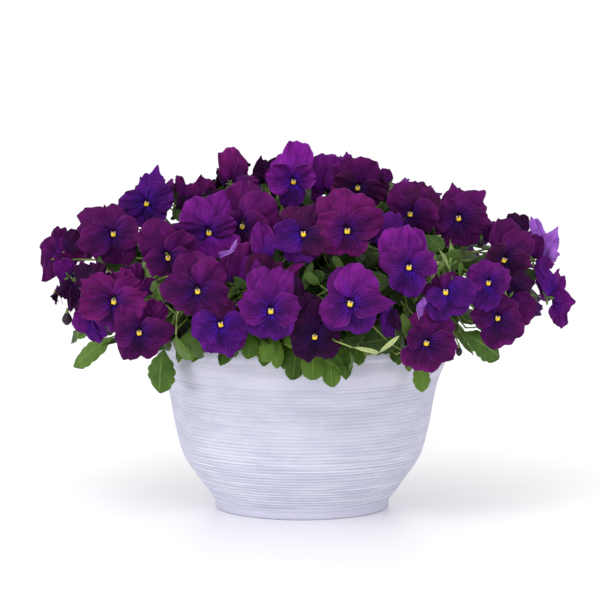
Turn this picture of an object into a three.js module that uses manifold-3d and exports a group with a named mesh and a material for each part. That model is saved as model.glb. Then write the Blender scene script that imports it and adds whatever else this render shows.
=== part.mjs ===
// Potted pansy planter: a grooved bowl, potting soil, four pansy plants and their blooms.
// Millimetres, +Z up, the origin at the middle of the pot's underside, the front towards -Y.
import * as THREE from 'three';
import { mergeVertices } from 'three/addons/utils/BufferGeometryUtils.js';
import Module from 'manifold-3d';

const wasm = await Module();
wasm.setup();
const { Manifold, Mesh: SolidMesh } = wasm;

// Pot
const RIM_RADIUS = 140.2;
const POT_HEIGHT = 168;
const FOOT_RADIUS = 83.3;
const FOOT_HEIGHT = 9;
const FOOT_BEVEL = 2;
const WALL = 5;
const FLOOR = 6;
const RIM_BAND = 11.5;
const RIM_STEP = 1.2;
const POT_SIDES = 24;
const GROOVES = 9;
const GROOVE_DEPTH = 1.5;
const GROOVES_FROM = 12;
const GROOVES_TO = 131;
// Wall curve from the foot to the smooth zone under the rim band, as radius and height
const WALL_CURVE = [
  [84.5, 9], [98.5, 28], [113.5, 51], [121.8, 80],
  [127, 109], [131.8, 127], [139.3, 145],
];
// Heights at which the inside bends below its straight neck
const INNER_BENDS = [115, 60];

// Soil
const CLEARANCE = 0.3;
const MERGE_DISTANCE = 1e-3;
const SOIL_TOP = 150;
const SOIL_EDGE = 2;
const SOIL_CROWN = 3;
const SOIL_SHOULDER = { reach: 0.6, rise: 0.7 };

// Mound of blooms: half sizes along X and Y, height of its widest level, reach above and below it
const MOUND_X = 240;
const MOUND_Y = 222;
const MOUND_Z = 205;
const MOUND_UP = 115;
const MOUND_DOWN = 80;
const EDGE_REST = 0.03;
const VIEW_STEPS = 12;
// The tables below place things as seen from the front, from this far off and this high
const VIEW_DISTANCE = 4000;
const VIEW_HEIGHT = 690;

// Plants
const PLANTS = 4;
const CROWN_SPREAD = 62;
const CROWN_SIDES = 6;
const CROWN_RADIUS = 8;
const CROWN_FOOT = 134;
const CROWN_NECK = 156;
const CROWN_SWELL = 164;
const CROWN_SWELL_RADIUS = 11;
const CROWN_SHOULDER = 174;
const CROWN_SHOULDER_RADIUS = 7;
const CROWN_TOP = 180;
const SHOOT_START = 170;
const SHOOT_REACH = 0.64;
const SHOOT_RADIUS = [3.3, 1.76];
const SHOOT_SIDES = 3;
const SHOOT_STEPS = 3;
// A shoot first climbs this much over its start and its end, its pull this share of the way along
const SHOOT_PULL = 0.4;
const SHOOT_CLIMB = 18;
const SHOOT_ARCH = 6;

// Stalks of the blooms
const STALK_RADIUS = 1.2;
const STALK_SIDES = 3;
const STALK_ROOTS = 12;
const STALK_BEHIND = 25;
const STALK_LEAVE = { share: 0.3, climb: 0.25 };
const STALK_ARRIVALS = [0.35, 0.6, 0.9];
const STALK_ARRIVE_MOST = 60;
const STALK_TESTS = [0, 0.1, 0.2, 0.3, 0.4, 0.5, 0.6, 0.7, 0.8, 0.9];
const STALK_HIT_COST = 100;
const STALK_DETOUR_COST = 0.1;

// Seeds of the draws; each plant's shoots and each bloom's waves count on from theirs
const SEEDS = { rear: 7, skirt: 31, shoots: 50, waves: 100 };

// Blooms
const PETAL_THICKNESS = 1.3;
const PETAL_CURL = 0.07;
const PETAL_WAVE = { least: 0.012, more: 0.02 };
// Space of a bloom, which stalks and leaves keep out of: past its edge, behind it and ahead of it, with the
// slopes at which the last two widen away from its middle
const BLOOM_ROOM = { past: 2, behind: 4, behindSlope: 0.25, ahead: 5, aheadSlope: 0.2 };

// Blooms of the back and the top stand on a spiral of tries over the mound.
// spacing: the least distance between blooms; lowest and highest: sines of the rise;
// edge and edgeSlope: they stand behind this Y, which moves back towards the sides;
// topFrom and topForward: above this height they stand this much further forward;
// the rest are the ranges of the draws, in degrees and millimetres
const REAR = {
  tries: 150,
  turn: 137.508,
  spacing: 51.5,
  lowest: -0.12,
  highest: 0.99,
  edge: -35,
  edgeSlope: 0.17,
  topFrom: 285,
  topForward: 30,
  depth: { least: 0.96, more: 0.05 },
  yaw: 30,
  pitch: 24,
  pitchFrom: -12,
  pitchTo: 66,
  roll: 30,
  size: { least: 54, more: 12 },
  colours: ['plum', 'magenta', 'violet', 'blue', 'night', 'plum', 'violet'],
};

// Petals in turn from the top, clockwise as seen. turn: direction in degrees from straight up; from: where
// the petal's part of the throat starts; reach, width, layer and notch: shares of the bloom's size; lean:
// degrees forward
const PETALS = [
  { turn: 33, from: 0, reach: 0.52, width: 0.66, layer: -0.022, lean: -8, notch: 0 },
  { turn: 101, from: 67, reach: 0.48, width: 0.56, layer: 0.034, lean: 8, notch: 0 },
  { turn: 180, from: 140.5, reach: 0.46, width: 0.7, layer: 0.004, lean: 0, notch: 0.05 },
  { turn: 259, from: 219.5, reach: 0.48, width: 0.56, layer: 0.034, lean: 8, notch: 0 },
  { turn: 327, from: 293, reach: 0.52, width: 0.66, layer: -0.056, lean: -11, notch: 0 },
];
// A petal keeps to its own part of the throat out to this share of its reach, and widens past it
const CLAW_REACH = 0.46;
const CLAW_GAP = 1.2;
// Wide edge of a petal on one side: share of the reach, share of the half width, side of the wave
const PETAL_EDGE = [[0.78, 1, -1], [0.98, 0.5, 1]];
const PETAL_MIDDLE = 0.6;
// Throat: radius and height of its back and front, shares of the bloom's size
const THROAT_BACK = [0.045, -0.11];
const THROAT_FRONT = [0.085, 0.05];

const COLOURS = {
  plum: 0x4a1050,
  magenta: 0x6c1a68,
  violet: 0x5a1f92,
  blue: 0x3c1a8c,
  night: 0x2c0a38,
  pale: 0x8e4ab0,
};
const PLANT_COLOUR = 0x4f7f2c;
const POT_COLOUR = 0xccccdc;
const SOIL_COLOUR = 0x3a2a1e;

// Blooms of the front: across, height, lift off the mound, yaw, pitch, roll, size, colour.
// Yaw turns the face to the right, pitch turns it up, roll leans its top to the right.
const FRONT_BLOOMS = [
  [-180, 263, 2, -8, 5, 5, 62, 'plum'],
  [-148, 292, 0, -5, 5, 18, 60, 'blue'],
  [-128, 240, 8, 5, -22, 0, 60, 'plum'],
  [-89, 264, 4, -5, -8, 0, 64, 'violet'],
  [-57, 270, -4, -22, -18, 22, 64, 'plum'],
  [-100, 208, 10, 0, -6, -5, 60, 'plum'],
  [-180, 198, 10, -8, 2, 5, 66, 'magenta'],
  [-156, 168, 2, 5, -10, -5, 60, 'plum'],
  [-30, 189, 10, 0, 2, 2, 66, 'violet'],
  [-78, 176, 0, 5, 8, -12, 58, 'blue'],
  [1, 263, 2, 0, 12, -8, 60, 'blue'],
  [46, 196, 6, 5, 4, 14, 70, 'violet'],
  [12, 164, -4, 0, -12, 5, 62, 'night'],
  [-8, 313, 6, 0, -6, 8, 62, 'violet'],
  [43, 266, 10, 2, 2, 0, 70, 'magenta'],
  [53, 307, 0, 3, -32, 0, 60, 'night'],
  [103, 282, 0, -5, -12, 5, 60, 'plum'],
  [149, 278, 8, 3, 3, -10, 64, 'plum'],
  [102, 231, 6, 5, 2, 0, 64, 'violet'],
  [137, 207, 0, 5, 24, 5, 62, 'blue'],
  [178, 216, 14, 8, 6, 8, 52, 'violet'],
  [193, 238, -4, 20, -10, 15, 66, 'night'],
  [187, 182, 6, 10, 4, 0, 58, 'plum'],
  [119, 158, 8, 6, 0, 15, 62, 'plum'],
  [-233, 247, 0, -75, -12, 10, 56, 'night'],
  [-222, 226, -24, -140, 0, 0, 42, 'pale'],
  [-220, 205, 0, -50, -50, 0, 34, 'night'],
  [-204, 173, -2, -50, -12, -10, 50, 'blue'],
  [-186, 222, -30, 165, 10, 0, 48, 'pale'],
  [-156, 222, -10, 35, -15, 0, 48, 'magenta'],
  [-107, 303, -14, 170, 10, 0, 56, 'plum'],
  [-66, 327, -2, 165, 15, 0, 52, 'plum'],
  [-35, 322, -14, 195, 25, 0, 48, 'night'],
  [-61, 233, -12, -15, -10, 0, 50, 'blue'],
  [-36, 252, -4, 70, -5, 0, 38, 'pale'],
  [-38, 226, -20, -10, 0, 0, 46, 'magenta'],
  [-12, 216, -26, 50, 0, 30, 46, 'magenta'],
  [23, 316, -4, 70, -10, 0, 56, 'magenta'],
  [46, 328, -28, 175, 5, 0, 46, 'violet'],
  [75, 306, -18, 150, 0, 0, 54, 'night'],
  [77, 262, -5, -30, 0, 0, 50, 'blue'],
  [183, 262, -14, 150, 0, 0, 40, 'violet'],
  [232, 254, -14, 125, 5, 0, 56, 'pale'],
  [243, 206, -6, 95, -10, 0, 56, 'violet'],
  [84, 177, -2, 15, -45, 0, 30, 'blue'],
  [117, 188, -14, 80, 0, 0, 34, 'pale'],
  [203, 269, -26, 170, 20, 0, 44, 'night'],
  [-60, 161, -3, 0, 0, 0, 34, 'violet'],
  [209, 199, -10, 35, -5, 0, 56, 'night'],
];

// Leaves of the front: tip across, height and depth, base across, height and depth, width
const FRONT_LEAVES = [
  [-218, 134, 60, -175, 167, 90, 20],
  [-216, 163, 60, -196, 178, 75, 12],
  [-136, 109, 95, -131, 157, 98, 30],
  [-115, 143, 120, -96, 172, 120, 24],
  [-70, 142, 145, -64, 168, 132, 14],
  [-52, 142, 152, -46, 170, 134, 18],
  [-37, 135, 155, -33, 168, 136, 14],
  [-24, 133, 158, -24, 166, 138, 13],
  [-9, 122, 160, -4, 162, 138, 20],
  [11, 122, 160, 9, 162, 138, 24],
  [29, 115, 158, 25, 160, 138, 20],
  [42, 122, 157, 38, 162, 138, 16],
  [92, 163, 150, 48, 156, 140, 28],
  [88, 139, 140, 92, 166, 122, 14],
  [102, 130, 132, 102, 158, 120, 10],
  [115, 110, 122, 112, 146, 108, 18],
  [189, 144, 60, 149, 170, 85, 26],
  [134, 247, 156, 116, 262, 146, 18],
  [150, 246, 154, 126, 222, 146, 16],
  [33, 232, 180, 20, 244, 165, 12],
  [57, 236, 180, 44, 244, 165, 12],
  [21, 222, 180, 2, 219, 165, 14],
  [-67, 211, 178, -47, 221, 165, 12],
  [-142, 240, 146, -152, 208, 130, 12],
];

// Leaves
const BLADE_THICKNESS = 1.4;
const LEAF_ARCH = 0.18;
const LEAF_CUP = 0.22;
// A leaf looks away from the pot's axis and this much up
const LEAF_LOOK_UP = 60;
// Edge of a leaf from its base to its tip: share of the length, share of the half width, on the rib
const LEAF_EDGE = [
  [0.04, 0.16, true],
  [0.34, 0.96, true],
  [0.5, 0.84, false],
  [0.7, 0.92, true],
  [0.86, 0.56, false],
];
// Places on a leaf, along it and across it, that are tested against the blooms
const LEAF_TESTS_ALONG = [0.1, 0.35, 0.6, 0.85, 1];
const LEAF_TESTS_ACROSS = [-0.5, 0, 0.5];
// A front leaf that touches a bloom is drawn back in steps, its base fully and its tip by a share of each
const DRAW_BACK_STEP = 8;
const DRAW_BACK_MOST = 72;
const DRAW_BACK_TIP = 0.25;

// Shoots of one plant: turn from the middle of its quarter and rise, in degrees
const SHOOTS = [[-31, 10], [0, 14], [31, 10], [-20, 42], [20, 42], [0, 68]];
// Leaves along a shoot: place along it, turn to the side and rise, in degrees
const SHOOT_LEAVES = [[0.66, -48, 16], [0.97, 30, 16]];
// Their stalks, sizes and turns; those above highFrom climb more; one that touches a bloom is tried smaller
const SHOOT_LEAF = {
  stalk: 12,
  length: { least: 44, more: 14 },
  width: { least: 24, more: 9 },
  turn: 40,
  highFrom: 250,
  highClimb: 25,
  scales: [1, 0.8, 0.6],
};
// Rooting places of stalks and hanging leaves along a shoot
const ROOT_SHARES = [0.12, 0.19, 0.26, 0.33, 0.4, 0.47, 0.55, 0.62, 0.69, 0.8, 0.87, 0.93];
// Leaves that hang over the rim at the sides and the back: where they start and how far round they go, in
// degrees; where their bases stand; how far they reach past the rim and below it; their widths
const SKIRT = {
  count: 15,
  from: -14,
  sweep: 208,
  jitter: 0.6,
  turn: 0.25,
  baseRadius: 132,
  baseHeight: { least: 184, more: 6 },
  past: { least: 20, more: 12 },
  drop: { least: 14, more: 14 },
  width: { least: 18, more: 8 },
};

const radians = THREE.MathUtils.degToRad;
const degrees = THREE.MathUtils.radToDeg;
const vector = (x, y, z) => new THREE.Vector3(x, y, z);

/** Numbers from 0 to 1 that are the same each time for the same seed. */
function seededDraws(seed) {
  let state = seed;
  return () => {
    state = (1664525 * state + 1013904223) % 4294967296;
    return state / 4294967296;
  };
}

/** A draw from a range that starts at its least and goes on for more. */
function drawn({ least, more }, draw) {
  return least + more * draw();
}

/** A solid from a closed geometry, with the corners that lie together merged. */
function solidOf(geometry) {
  const bare = geometry.clone();
  bare.deleteAttribute('normal');
  bare.deleteAttribute('uv');
  const merged = mergeVertices(bare, MERGE_DISTANCE);
  const triangles = [];
  for (let first = 0; first < merged.index.count; first += 3) {
    const [a, b, c] = merged.index.array.slice(first, first + 3);
    if (a !== b && b !== c && c !== a) triangles.push(a, b, c);
  }
  return new Manifold(new SolidMesh({
    numProp: 3,
    vertProperties: new Float32Array(merged.attributes.position.array),
    triVerts: new Uint32Array(triangles),
  }));
}

/** A solid from corners and triangles that close on themselves, turned face out. */
function solidFrom(corners, triangles) {
  let volume = 0;
  for (const [a, b, c] of triangles) {
    volume += corners[a].dot(corners[b].clone().cross(corners[c]));
  }
  const outward = volume > 0 ? triangles : triangles.map(([a, b, c]) => [a, c, b]);
  return new Manifold(new SolidMesh({
    numProp: 3,
    vertProperties: new Float32Array(corners.flatMap((corner) => corner.toArray())),
    triVerts: new Uint32Array(outward.flat()),
  }));
}

/** A geometry of a solid. */
function geometryOf(solid) {
  const { vertProperties, triVerts } = solid.getMesh();
  const geometry = new THREE.BufferGeometry();
  geometry.setAttribute('position', new THREE.BufferAttribute(new Float32Array(vertProperties), 3));
  geometry.setIndex(new THREE.BufferAttribute(new Uint32Array(triVerts), 1));
  return geometry;
}

/** The largest body of a solid: scraps and sealed hollows are dropped. */
function largestBody(solid) {
  const bodies = solidOf(geometryOf(solid)).decompose();
  return bodies.reduce((best, body) => (body.volume() > best.volume() ? body : best));
}

/** A named mesh of a solid. */
function meshOf(name, solid, colour, roughness) {
  const geometry = geometryOf(solid);
  geometry.computeVertexNormals();
  const material = new THREE.MeshStandardMaterial({ color: colour, roughness, metalness: 0 });
  const mesh = new THREE.Mesh(geometry, material);
  mesh.name = name;
  return mesh;
}

/** A solid of revolution about Z from radius and height pairs. */
function turned(profile, sides) {
  const points = profile.map(([radius, height]) => new THREE.Vector2(radius, height));
  return solidOf(new THREE.LatheGeometry(points, sides).rotateX(Math.PI / 2));
}

/** The pot's outer wall without its grooves, as a curve of radius and height. */
const wallCurve = new THREE.SplineCurve(
  WALL_CURVE.map(([radius, height]) => new THREE.Vector2(radius, height)),
);

/** The outer radius of the smooth wall at a height. */
function wallRadius(height) {
  if (height <= WALL_CURVE[0][1]) return FOOT_RADIUS;
  if (height >= WALL_CURVE.at(-1)[1]) return RIM_RADIUS;
  let low = 0;
  let high = 1;
  while (high - low > 1e-5) {
    const middle = (low + high) / 2;
    if (wallCurve.getPoint(middle).y < height) low = middle;
    else high = middle;
  }
  return wallCurve.getPoint(low).x;
}

/** The pot's outside, from the middle of the underside to the top of the rim. */
function outerProfile() {
  const profile = [[0, 0], [FOOT_RADIUS, 0], [FOOT_RADIUS, FOOT_HEIGHT - FOOT_BEVEL]];
  const pitch = (GROOVES_TO - GROOVES_FROM) / GROOVES;
  for (let groove = 0; groove < GROOVES; groove += 1) {
    const ridge = GROOVES_FROM + groove * pitch;
    const valley = ridge + pitch / 2;
    profile.push([wallRadius(ridge), ridge]);
    profile.push([wallRadius(valley) - GROOVE_DEPTH, valley]);
  }
  profile.push([wallRadius(GROOVES_TO), GROOVES_TO]);
  const [, smoothTop] = WALL_CURVE.at(-1);
  profile.push([RIM_RADIUS - 2 * RIM_STEP, smoothTop]);
  profile.push([RIM_RADIUS - RIM_STEP, POT_HEIGHT - RIM_BAND]);
  profile.push([RIM_RADIUS, POT_HEIGHT - RIM_BAND + RIM_STEP]);
  profile.push([RIM_RADIUS, POT_HEIGHT - RIM_STEP]);
  profile.push([RIM_RADIUS - RIM_STEP, POT_HEIGHT]);
  return profile;
}

/** Radius and height of the pot's inside at a few heights, from the top down to the floor. */
function innerProfile(inset) {
  const lowest = FLOOR + inset;
  return [
    ...INNER_BENDS.map((height) => [wallRadius(height) - WALL - inset, height]),
    [FOOT_RADIUS - WALL - inset, lowest],
    [0, lowest],
  ];
}

function buildPot() {
  const lip = RIM_RADIUS - WALL;
  const profile = [...outerProfile(), [lip, POT_HEIGHT], [lip, SOIL_TOP - SOIL_EDGE], ...innerProfile(0)];
  return turned(profile, POT_SIDES);
}

/** The place of a plant's crown. */
function crownPlace(plant) {
  const turn = radians(45 + 90 * plant);
  return vector(CROWN_SPREAD * Math.cos(turn), CROWN_SPREAD * Math.sin(turn), 0);
}

function buildSoil() {
  const edge = RIM_RADIUS - WALL - CLEARANCE;
  const surface = [
    [0, SOIL_TOP + SOIL_CROWN],
    [edge * SOIL_SHOULDER.reach, SOIL_TOP + SOIL_CROWN * SOIL_SHOULDER.rise],
    [edge, SOIL_TOP],
  ];
  const profile = [...surface, [edge, SOIL_TOP - SOIL_EDGE], ...innerProfile(CLEARANCE)].reverse();
  const holeRadius = CROWN_RADIUS + 2 * CLEARANCE;
  const holeTop = SOIL_TOP + 2 * SOIL_CROWN;
  let soil = turned(profile, POT_SIDES);
  for (let plant = 0; plant < PLANTS; plant += 1) {
    const hole = turned([
      [0, CROWN_FOOT - CLEARANCE],
      [holeRadius, CROWN_FOOT - CLEARANCE],
      [holeRadius, holeTop],
      [0, holeTop],
    ], CROWN_SIDES);
    soil = soil.subtract(hole.translate(crownPlace(plant).toArray()));
  }
  return soil;
}

/** The point seen at this place from the front, at a depth in front of the pot's axis. */
function seenAt(across, height, depth) {
  const x = across * (1 - depth / VIEW_DISTANCE);
  return vector(x, -depth, height + (VIEW_HEIGHT - height) * depth / VIEW_DISTANCE);
}

/** The depth at which the view line through a place meets the mound. */
function moundDepth(across, height) {
  let depth = 0;
  for (let step = 0; step < VIEW_STEPS; step += 1) {
    const { x, z } = seenAt(across, height, depth);
    const reach = z > MOUND_Z ? MOUND_UP : MOUND_DOWN;
    const rest = 1 - (x / MOUND_X) ** 2 - ((z - MOUND_Z) / reach) ** 2;
    depth = (depth + MOUND_Y * Math.sqrt(Math.max(rest, EDGE_REST))) / 2;
  }
  return depth;
}

/** The point of the mound in a direction from its middle, scaled about that middle. */
function moundPoint(azimuth, rise, share) {
  const flat = Math.cos(radians(rise));
  const way = vector(
    flat * Math.cos(radians(azimuth)),
    flat * Math.sin(radians(azimuth)),
    Math.sin(radians(rise)),
  );
  const reach = way.z > 0 ? MOUND_UP : MOUND_DOWN;
  const length = share / Math.hypot(way.x / MOUND_X, way.y / MOUND_Y, way.z / reach);
  return way.multiplyScalar(length).add(vector(0, 0, MOUND_Z));
}

/** A bloom's place, size and the directions of its face, its top and its right side. */
function bloomAt(place, yaw, pitch, roll, size, colour) {
  const face = vector(
    Math.sin(radians(yaw)) * Math.cos(radians(pitch)),
    -Math.cos(radians(yaw)) * Math.cos(radians(pitch)),
    Math.sin(radians(pitch)),
  );
  const level = vector(0, 0, 1).cross(face).normalize();
  const upright = face.clone().cross(level);
  const top = upright.clone().multiplyScalar(Math.cos(radians(roll)));
  top.addScaledVector(level, Math.sin(radians(roll)));
  return { place, face, top, side: top.clone().cross(face), size, colour };
}

function frontBlooms() {
  return FRONT_BLOOMS.map(([across, height, lift, yaw, pitch, roll, size, colour]) => {
    const depth = moundDepth(across, height) + lift;
    return bloomAt(seenAt(across, height, depth), yaw, pitch, roll, size, colour);
  });
}

/** Blooms of the back and the top: a spiral over the mound that keeps clear of those already placed. */
function rearBlooms(placed) {
  const draw = seededDraws(SEEDS.rear);
  const blooms = [];
  for (let turn = 0; turn < REAR.tries; turn += 1) {
    const azimuth = (turn * REAR.turn) % 360;
    const rise = degrees(Math.asin(REAR.lowest + (REAR.highest - REAR.lowest) * turn / REAR.tries));
    const spot = moundPoint(azimuth, rise, drawn(REAR.depth, draw));
    const yaw = azimuth + 90 + REAR.yaw * (draw() - 0.5);
    const held = Math.min(REAR.pitchTo, Math.max(REAR.pitchFrom, rise));
    const pitch = held + REAR.pitch * (draw() - 0.5);
    const roll = REAR.roll * (draw() - 0.5);
    const size = drawn(REAR.size, draw);
    const colour = REAR.colours[Math.floor(REAR.colours.length * draw())];
    const forward = spot.z > REAR.topFrom ? REAR.topForward : 0;
    const behind = spot.y > REAR.edge + REAR.edgeSlope * Math.abs(spot.x) - forward;
    const crowded = [...placed, ...blooms].some((other) => other.place.distanceTo(spot) < REAR.spacing);
    if (behind && !crowded) blooms.push(bloomAt(spot, yaw, pitch, roll, size, colour));
  }
  return blooms;
}

/** A point given in a bloom's own directions: to its right, to its top and out of its face. */
function bloomPoint(bloom, right, up, out) {
  return bloom.place.clone().addScaledVector(bloom.side, right).addScaledVector(bloom.top, up)
    .addScaledVector(bloom.face, out);
}

/** Corners of one petal past the throat: its edge from right to left, then its middle, front and back. */
function petalCorners(bloom, petal, until, grow, wave) {
  const { size } = bloom;
  const along = size * petal.reach + grow;
  const half = size * petal.width / 2 + grow;
  const slope = Math.tan(radians(petal.lean));
  const turn = radians(petal.turn);
  const point = (share, aside, out) => {
    const run = share * along;
    const shift = aside * half;
    const right = run * Math.sin(turn) + shift * Math.cos(turn);
    const up = run * Math.cos(turn) - shift * Math.sin(turn);
    const height = size * petal.layer + slope * run - PETAL_CURL * share * share * along + out;
    return bloomPoint(bloom, right, up, height);
  };
  const claw = (bearing) => {
    const away = radians(bearing - petal.turn);
    return point(CLAW_REACH * Math.cos(away), CLAW_REACH * along * Math.sin(away) / half, 0);
  };
  const thick = PETAL_THICKNESS / 2 + grow;
  const right = PETAL_EDGE.map(([share, aside, side]) => point(share, aside, side * wave));
  const left = PETAL_EDGE.map(([share, aside, side]) => point(share, -aside, -side * wave)).reverse();
  const notch = petal.notch > 0 ? [point(1 - petal.notch / petal.reach, 0, 0)] : [];
  const edge = [claw(until - CLAW_GAP), ...right, ...notch, ...left, claw(petal.from + CLAW_GAP)];
  return [...edge, point(PETAL_MIDDLE, 0, thick), point(PETAL_MIDDLE, 0, -thick)];
}

/** A bloom: a short throat, its back flat against the stalk, and a petal on each of its five sides. */
function bloomSolid(bloom, index, grow) {
  const draw = seededDraws(SEEDS.waves + index);
  const count = PETALS.length;
  const corners = [];
  for (const [radius, out] of [THROAT_BACK, THROAT_FRONT]) {
    for (const { from } of PETALS) {
      const bearing = radians(from);
      const reach = bloom.size * radius + grow;
      const lift = bloom.size * out + Math.sign(out) * grow;
      corners.push(bloomPoint(bloom, reach * Math.sin(bearing), reach * Math.cos(bearing), lift));
    }
  }
  const triangles = [];
  for (let side = 1; side + 1 < count; side += 1) {
    triangles.push([0, side, side + 1], [count, count + side + 1, count + side]);
  }
  PETALS.forEach((petal, side) => {
    const next = (side + 1) % count;
    const wave = bloom.size * drawn(PETAL_WAVE, draw);
    const first = corners.length;
    const until = next === 0 ? 360 : PETALS[next].from;
    corners.push(...petalCorners(bloom, petal, until, grow, wave));
    const front = corners.length - 2;
    const back = corners.length - 1;
    const edge = Array.from({ length: front - first }, (_, step) => first + step);
    const rims = [[front, [count + side, count + next, ...edge]], [back, [side, next, ...edge]]];
    for (const [middle, rim] of rims) {
      rim.forEach((corner, step) => {
        const after = rim[(step + 1) % rim.length];
        triangles.push(middle === front ? [middle, corner, after] : [middle, after, corner]);
      });
    }
    triangles.push([next, first, count + next], [side, count + side, front - 1]);
  });
  return solidFrom(corners, triangles);
}

/** Triangles of a closed tube of rings, each with the same number of corners. */
function tubeTriangles(rings, sides) {
  const triangles = [];
  for (let ring = 0; ring + 1 < rings; ring += 1) {
    for (let side = 0; side < sides; side += 1) {
      const a = ring * sides + side;
      const b = ring * sides + (side + 1) % sides;
      triangles.push([a, b, b + sides], [a, b + sides, a + sides]);
    }
  }
  const last = (rings - 1) * sides;
  for (let side = 1; side + 1 < sides; side += 1) {
    triangles.push([0, side + 1, side], [last, last + side, last + side + 1]);
  }
  return triangles;
}

/** Blooms that cross are grouped, so that each group is one solid. */
function bloomGroups(solids) {
  const group = solids.map((solid, index) => index);
  const boxes = solids.map((solid) => solid.boundingBox());
  const apart = (a, b) => [0, 1, 2].some((axis) => a.min[axis] > b.max[axis] || b.min[axis] > a.max[axis]);
  for (let one = 0; one < solids.length; one += 1) {
    for (let other = one + 1; other < solids.length; other += 1) {
      if (group[one] === group[other] || apart(boxes[one], boxes[other])) continue;
      if (solids[one].intersect(solids[other]).volume() < 1e-3) continue;
      const [kept, joined] = [group[one], group[other]].sort((a, b) => a - b);
      group.forEach((value, index) => {
        if (value === joined) group[index] = kept;
      });
    }
  }
  const numbers = solids.map((solid, index) => index);
  return [...new Set(group)].map((value) => numbers.filter((index) => group[index] === value));
}

/** Whether a point lies in the space that a bloom takes up. */
function insideBloom(bloom, point) {
  const offset = point.clone().sub(bloom.place);
  const out = offset.dot(bloom.face);
  const reach = offset.addScaledVector(bloom.face, -out).length();
  const room = BLOOM_ROOM;
  const nearest = -room.behind - room.behindSlope * reach;
  const furthest = room.ahead + room.aheadSlope * reach;
  return reach < bloom.size / 2 + room.past && out > nearest && out < furthest;
}

/** A point on a curve through a start, a pull and an end, all vectors. */
function bend(start, pull, end, share) {
  const rest = 1 - share;
  return start.clone().multiplyScalar(rest * rest).addScaledVector(pull, 2 * rest * share)
    .addScaledVector(end, share * share);
}

/** A point on a cubic curve. */
function swing(a, b, c, d, share) {
  const rest = 1 - share;
  return a.clone().multiplyScalar(rest ** 3).addScaledVector(b, 3 * rest * rest * share)
    .addScaledVector(c, 3 * rest * share * share).addScaledVector(d, share ** 3);
}

/** The shoots of one plant, each as the few points that it runs straight between. */
function shootLines(plant) {
  const crown = crownPlace(plant);
  const start = vector(crown.x, crown.y, SHOOT_START);
  return SHOOTS.map(([turn, rise]) => {
    const end = moundPoint(45 + 90 * plant + turn, rise, SHOOT_REACH);
    const pull = start.clone().lerp(end, SHOOT_PULL);
    pull.z = Math.max(end.z, start.z + SHOOT_CLIMB) + SHOOT_ARCH;
    const shares = Array.from({ length: SHOOT_STEPS + 1 }, (_, step) => step / SHOOT_STEPS);
    return shares.map((share) => bend(start, pull, end, share));
  });
}

/** The point at a share of a shoot's length. */
function alongShoot(line, share) {
  const step = Math.min(Math.floor(share * SHOOT_STEPS), SHOOT_STEPS - 1);
  return line[step].clone().lerp(line[step + 1], share * SHOOT_STEPS - step);
}

/** The quarter, and so the plant, that a point belongs to. */
function quarterOf(point) {
  const turn = (Math.atan2(point.y, point.x) * 180 / Math.PI + 360) % 360;
  return Math.floor(turn / 90) % PLANTS;
}

/** Rooting places along a plant's shoots. */
function rootPlaces(lines) {
  return lines.flatMap((line) => ROOT_SHARES.map((share) => alongShoot(line, share)));
}

/** The free rooting places, nearest to a point first. */
function nearestFirst(roots, point) {
  return [...roots].sort((a, b) => a.distanceTo(point) - b.distanceTo(point));
}

/** Takes the rooting place nearest to a point out of the free ones. */
function takeNearest(roots, point) {
  const root = nearestFirst(roots, point)[0];
  roots.splice(roots.indexOf(root), 1);
  return root;
}

/** A tube with few sides along points, its last ring square to a given direction. */
function tubeSolid(points, radii, sides, lastWay) {
  const corners = [];
  let across = vector(0, 0, 1);
  points.forEach((point, index) => {
    const before = points[Math.max(index - 1, 0)];
    const after = points[Math.min(index + 1, points.length - 1)];
    const isLast = index === points.length - 1;
    const way = isLast && lastWay ? lastWay.clone() : after.clone().sub(before).normalize();
    if (index === 0 && Math.abs(way.z) > 0.8) across = vector(1, 0, 0);
    across = across.clone().addScaledVector(way, -across.dot(way)).normalize();
    const third = way.clone().cross(across);
    for (let side = 0; side < sides; side += 1) {
      const turn = 2 * Math.PI * side / sides;
      corners.push(point.clone().addScaledVector(across, radii[index] * Math.cos(turn))
        .addScaledVector(third, radii[index] * Math.sin(turn)));
    }
  });
  return solidFrom(corners, tubeTriangles(points.length, sides));
}

/** The course of a bloom's stalk, bent clear of the other blooms where one of the ways allows it. */
function stalkCourse(bloom, blooms, roots) {
  const seat = bloomPoint(bloom, 0, 0, THROAT_BACK[1] * bloom.size - CLEARANCE);
  const others = blooms.filter((other) => other !== bloom);
  let best = null;
  const behind = seat.clone().addScaledVector(bloom.face, -STALK_BEHIND);
  for (const root of nearestFirst(roots, behind).slice(0, STALK_ROOTS)) {
    const span = root.distanceTo(seat);
    const climb = vector(0, 0, STALK_LEAVE.climb * span);
    const leave = root.clone().lerp(seat, STALK_LEAVE.share).add(climb);
    for (const reach of STALK_ARRIVALS) {
      const arrive = seat.clone().addScaledVector(bloom.face, -reach * Math.min(span, STALK_ARRIVE_MOST));
      const course = STALK_TESTS.map((share) => swing(root, leave, arrive, seat, share));
      const hits = course.filter((point) => others.some((other) => insideBloom(other, point))).length;
      const score = hits * STALK_HIT_COST + span * (1 + STALK_DETOUR_COST * reach);
      if (!best || score < best.score) best = { score, root, leave, arrive, seat };
    }
  }
  roots.splice(roots.indexOf(best.root), 1);
  return best;
}

function bloomStalk(bloom, blooms, roots) {
  const { root, leave, arrive, seat } = stalkCourse(bloom, blooms, roots);
  const points = [0, 0.5, 1].map((share) => swing(root, leave, arrive, seat, share));
  const cup = THROAT_BACK[0] * bloom.size;
  const radii = [STALK_RADIUS / 2, STALK_RADIUS, cup];
  return tubeSolid(points, radii, STALK_SIDES, bloom.face);
}

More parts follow.
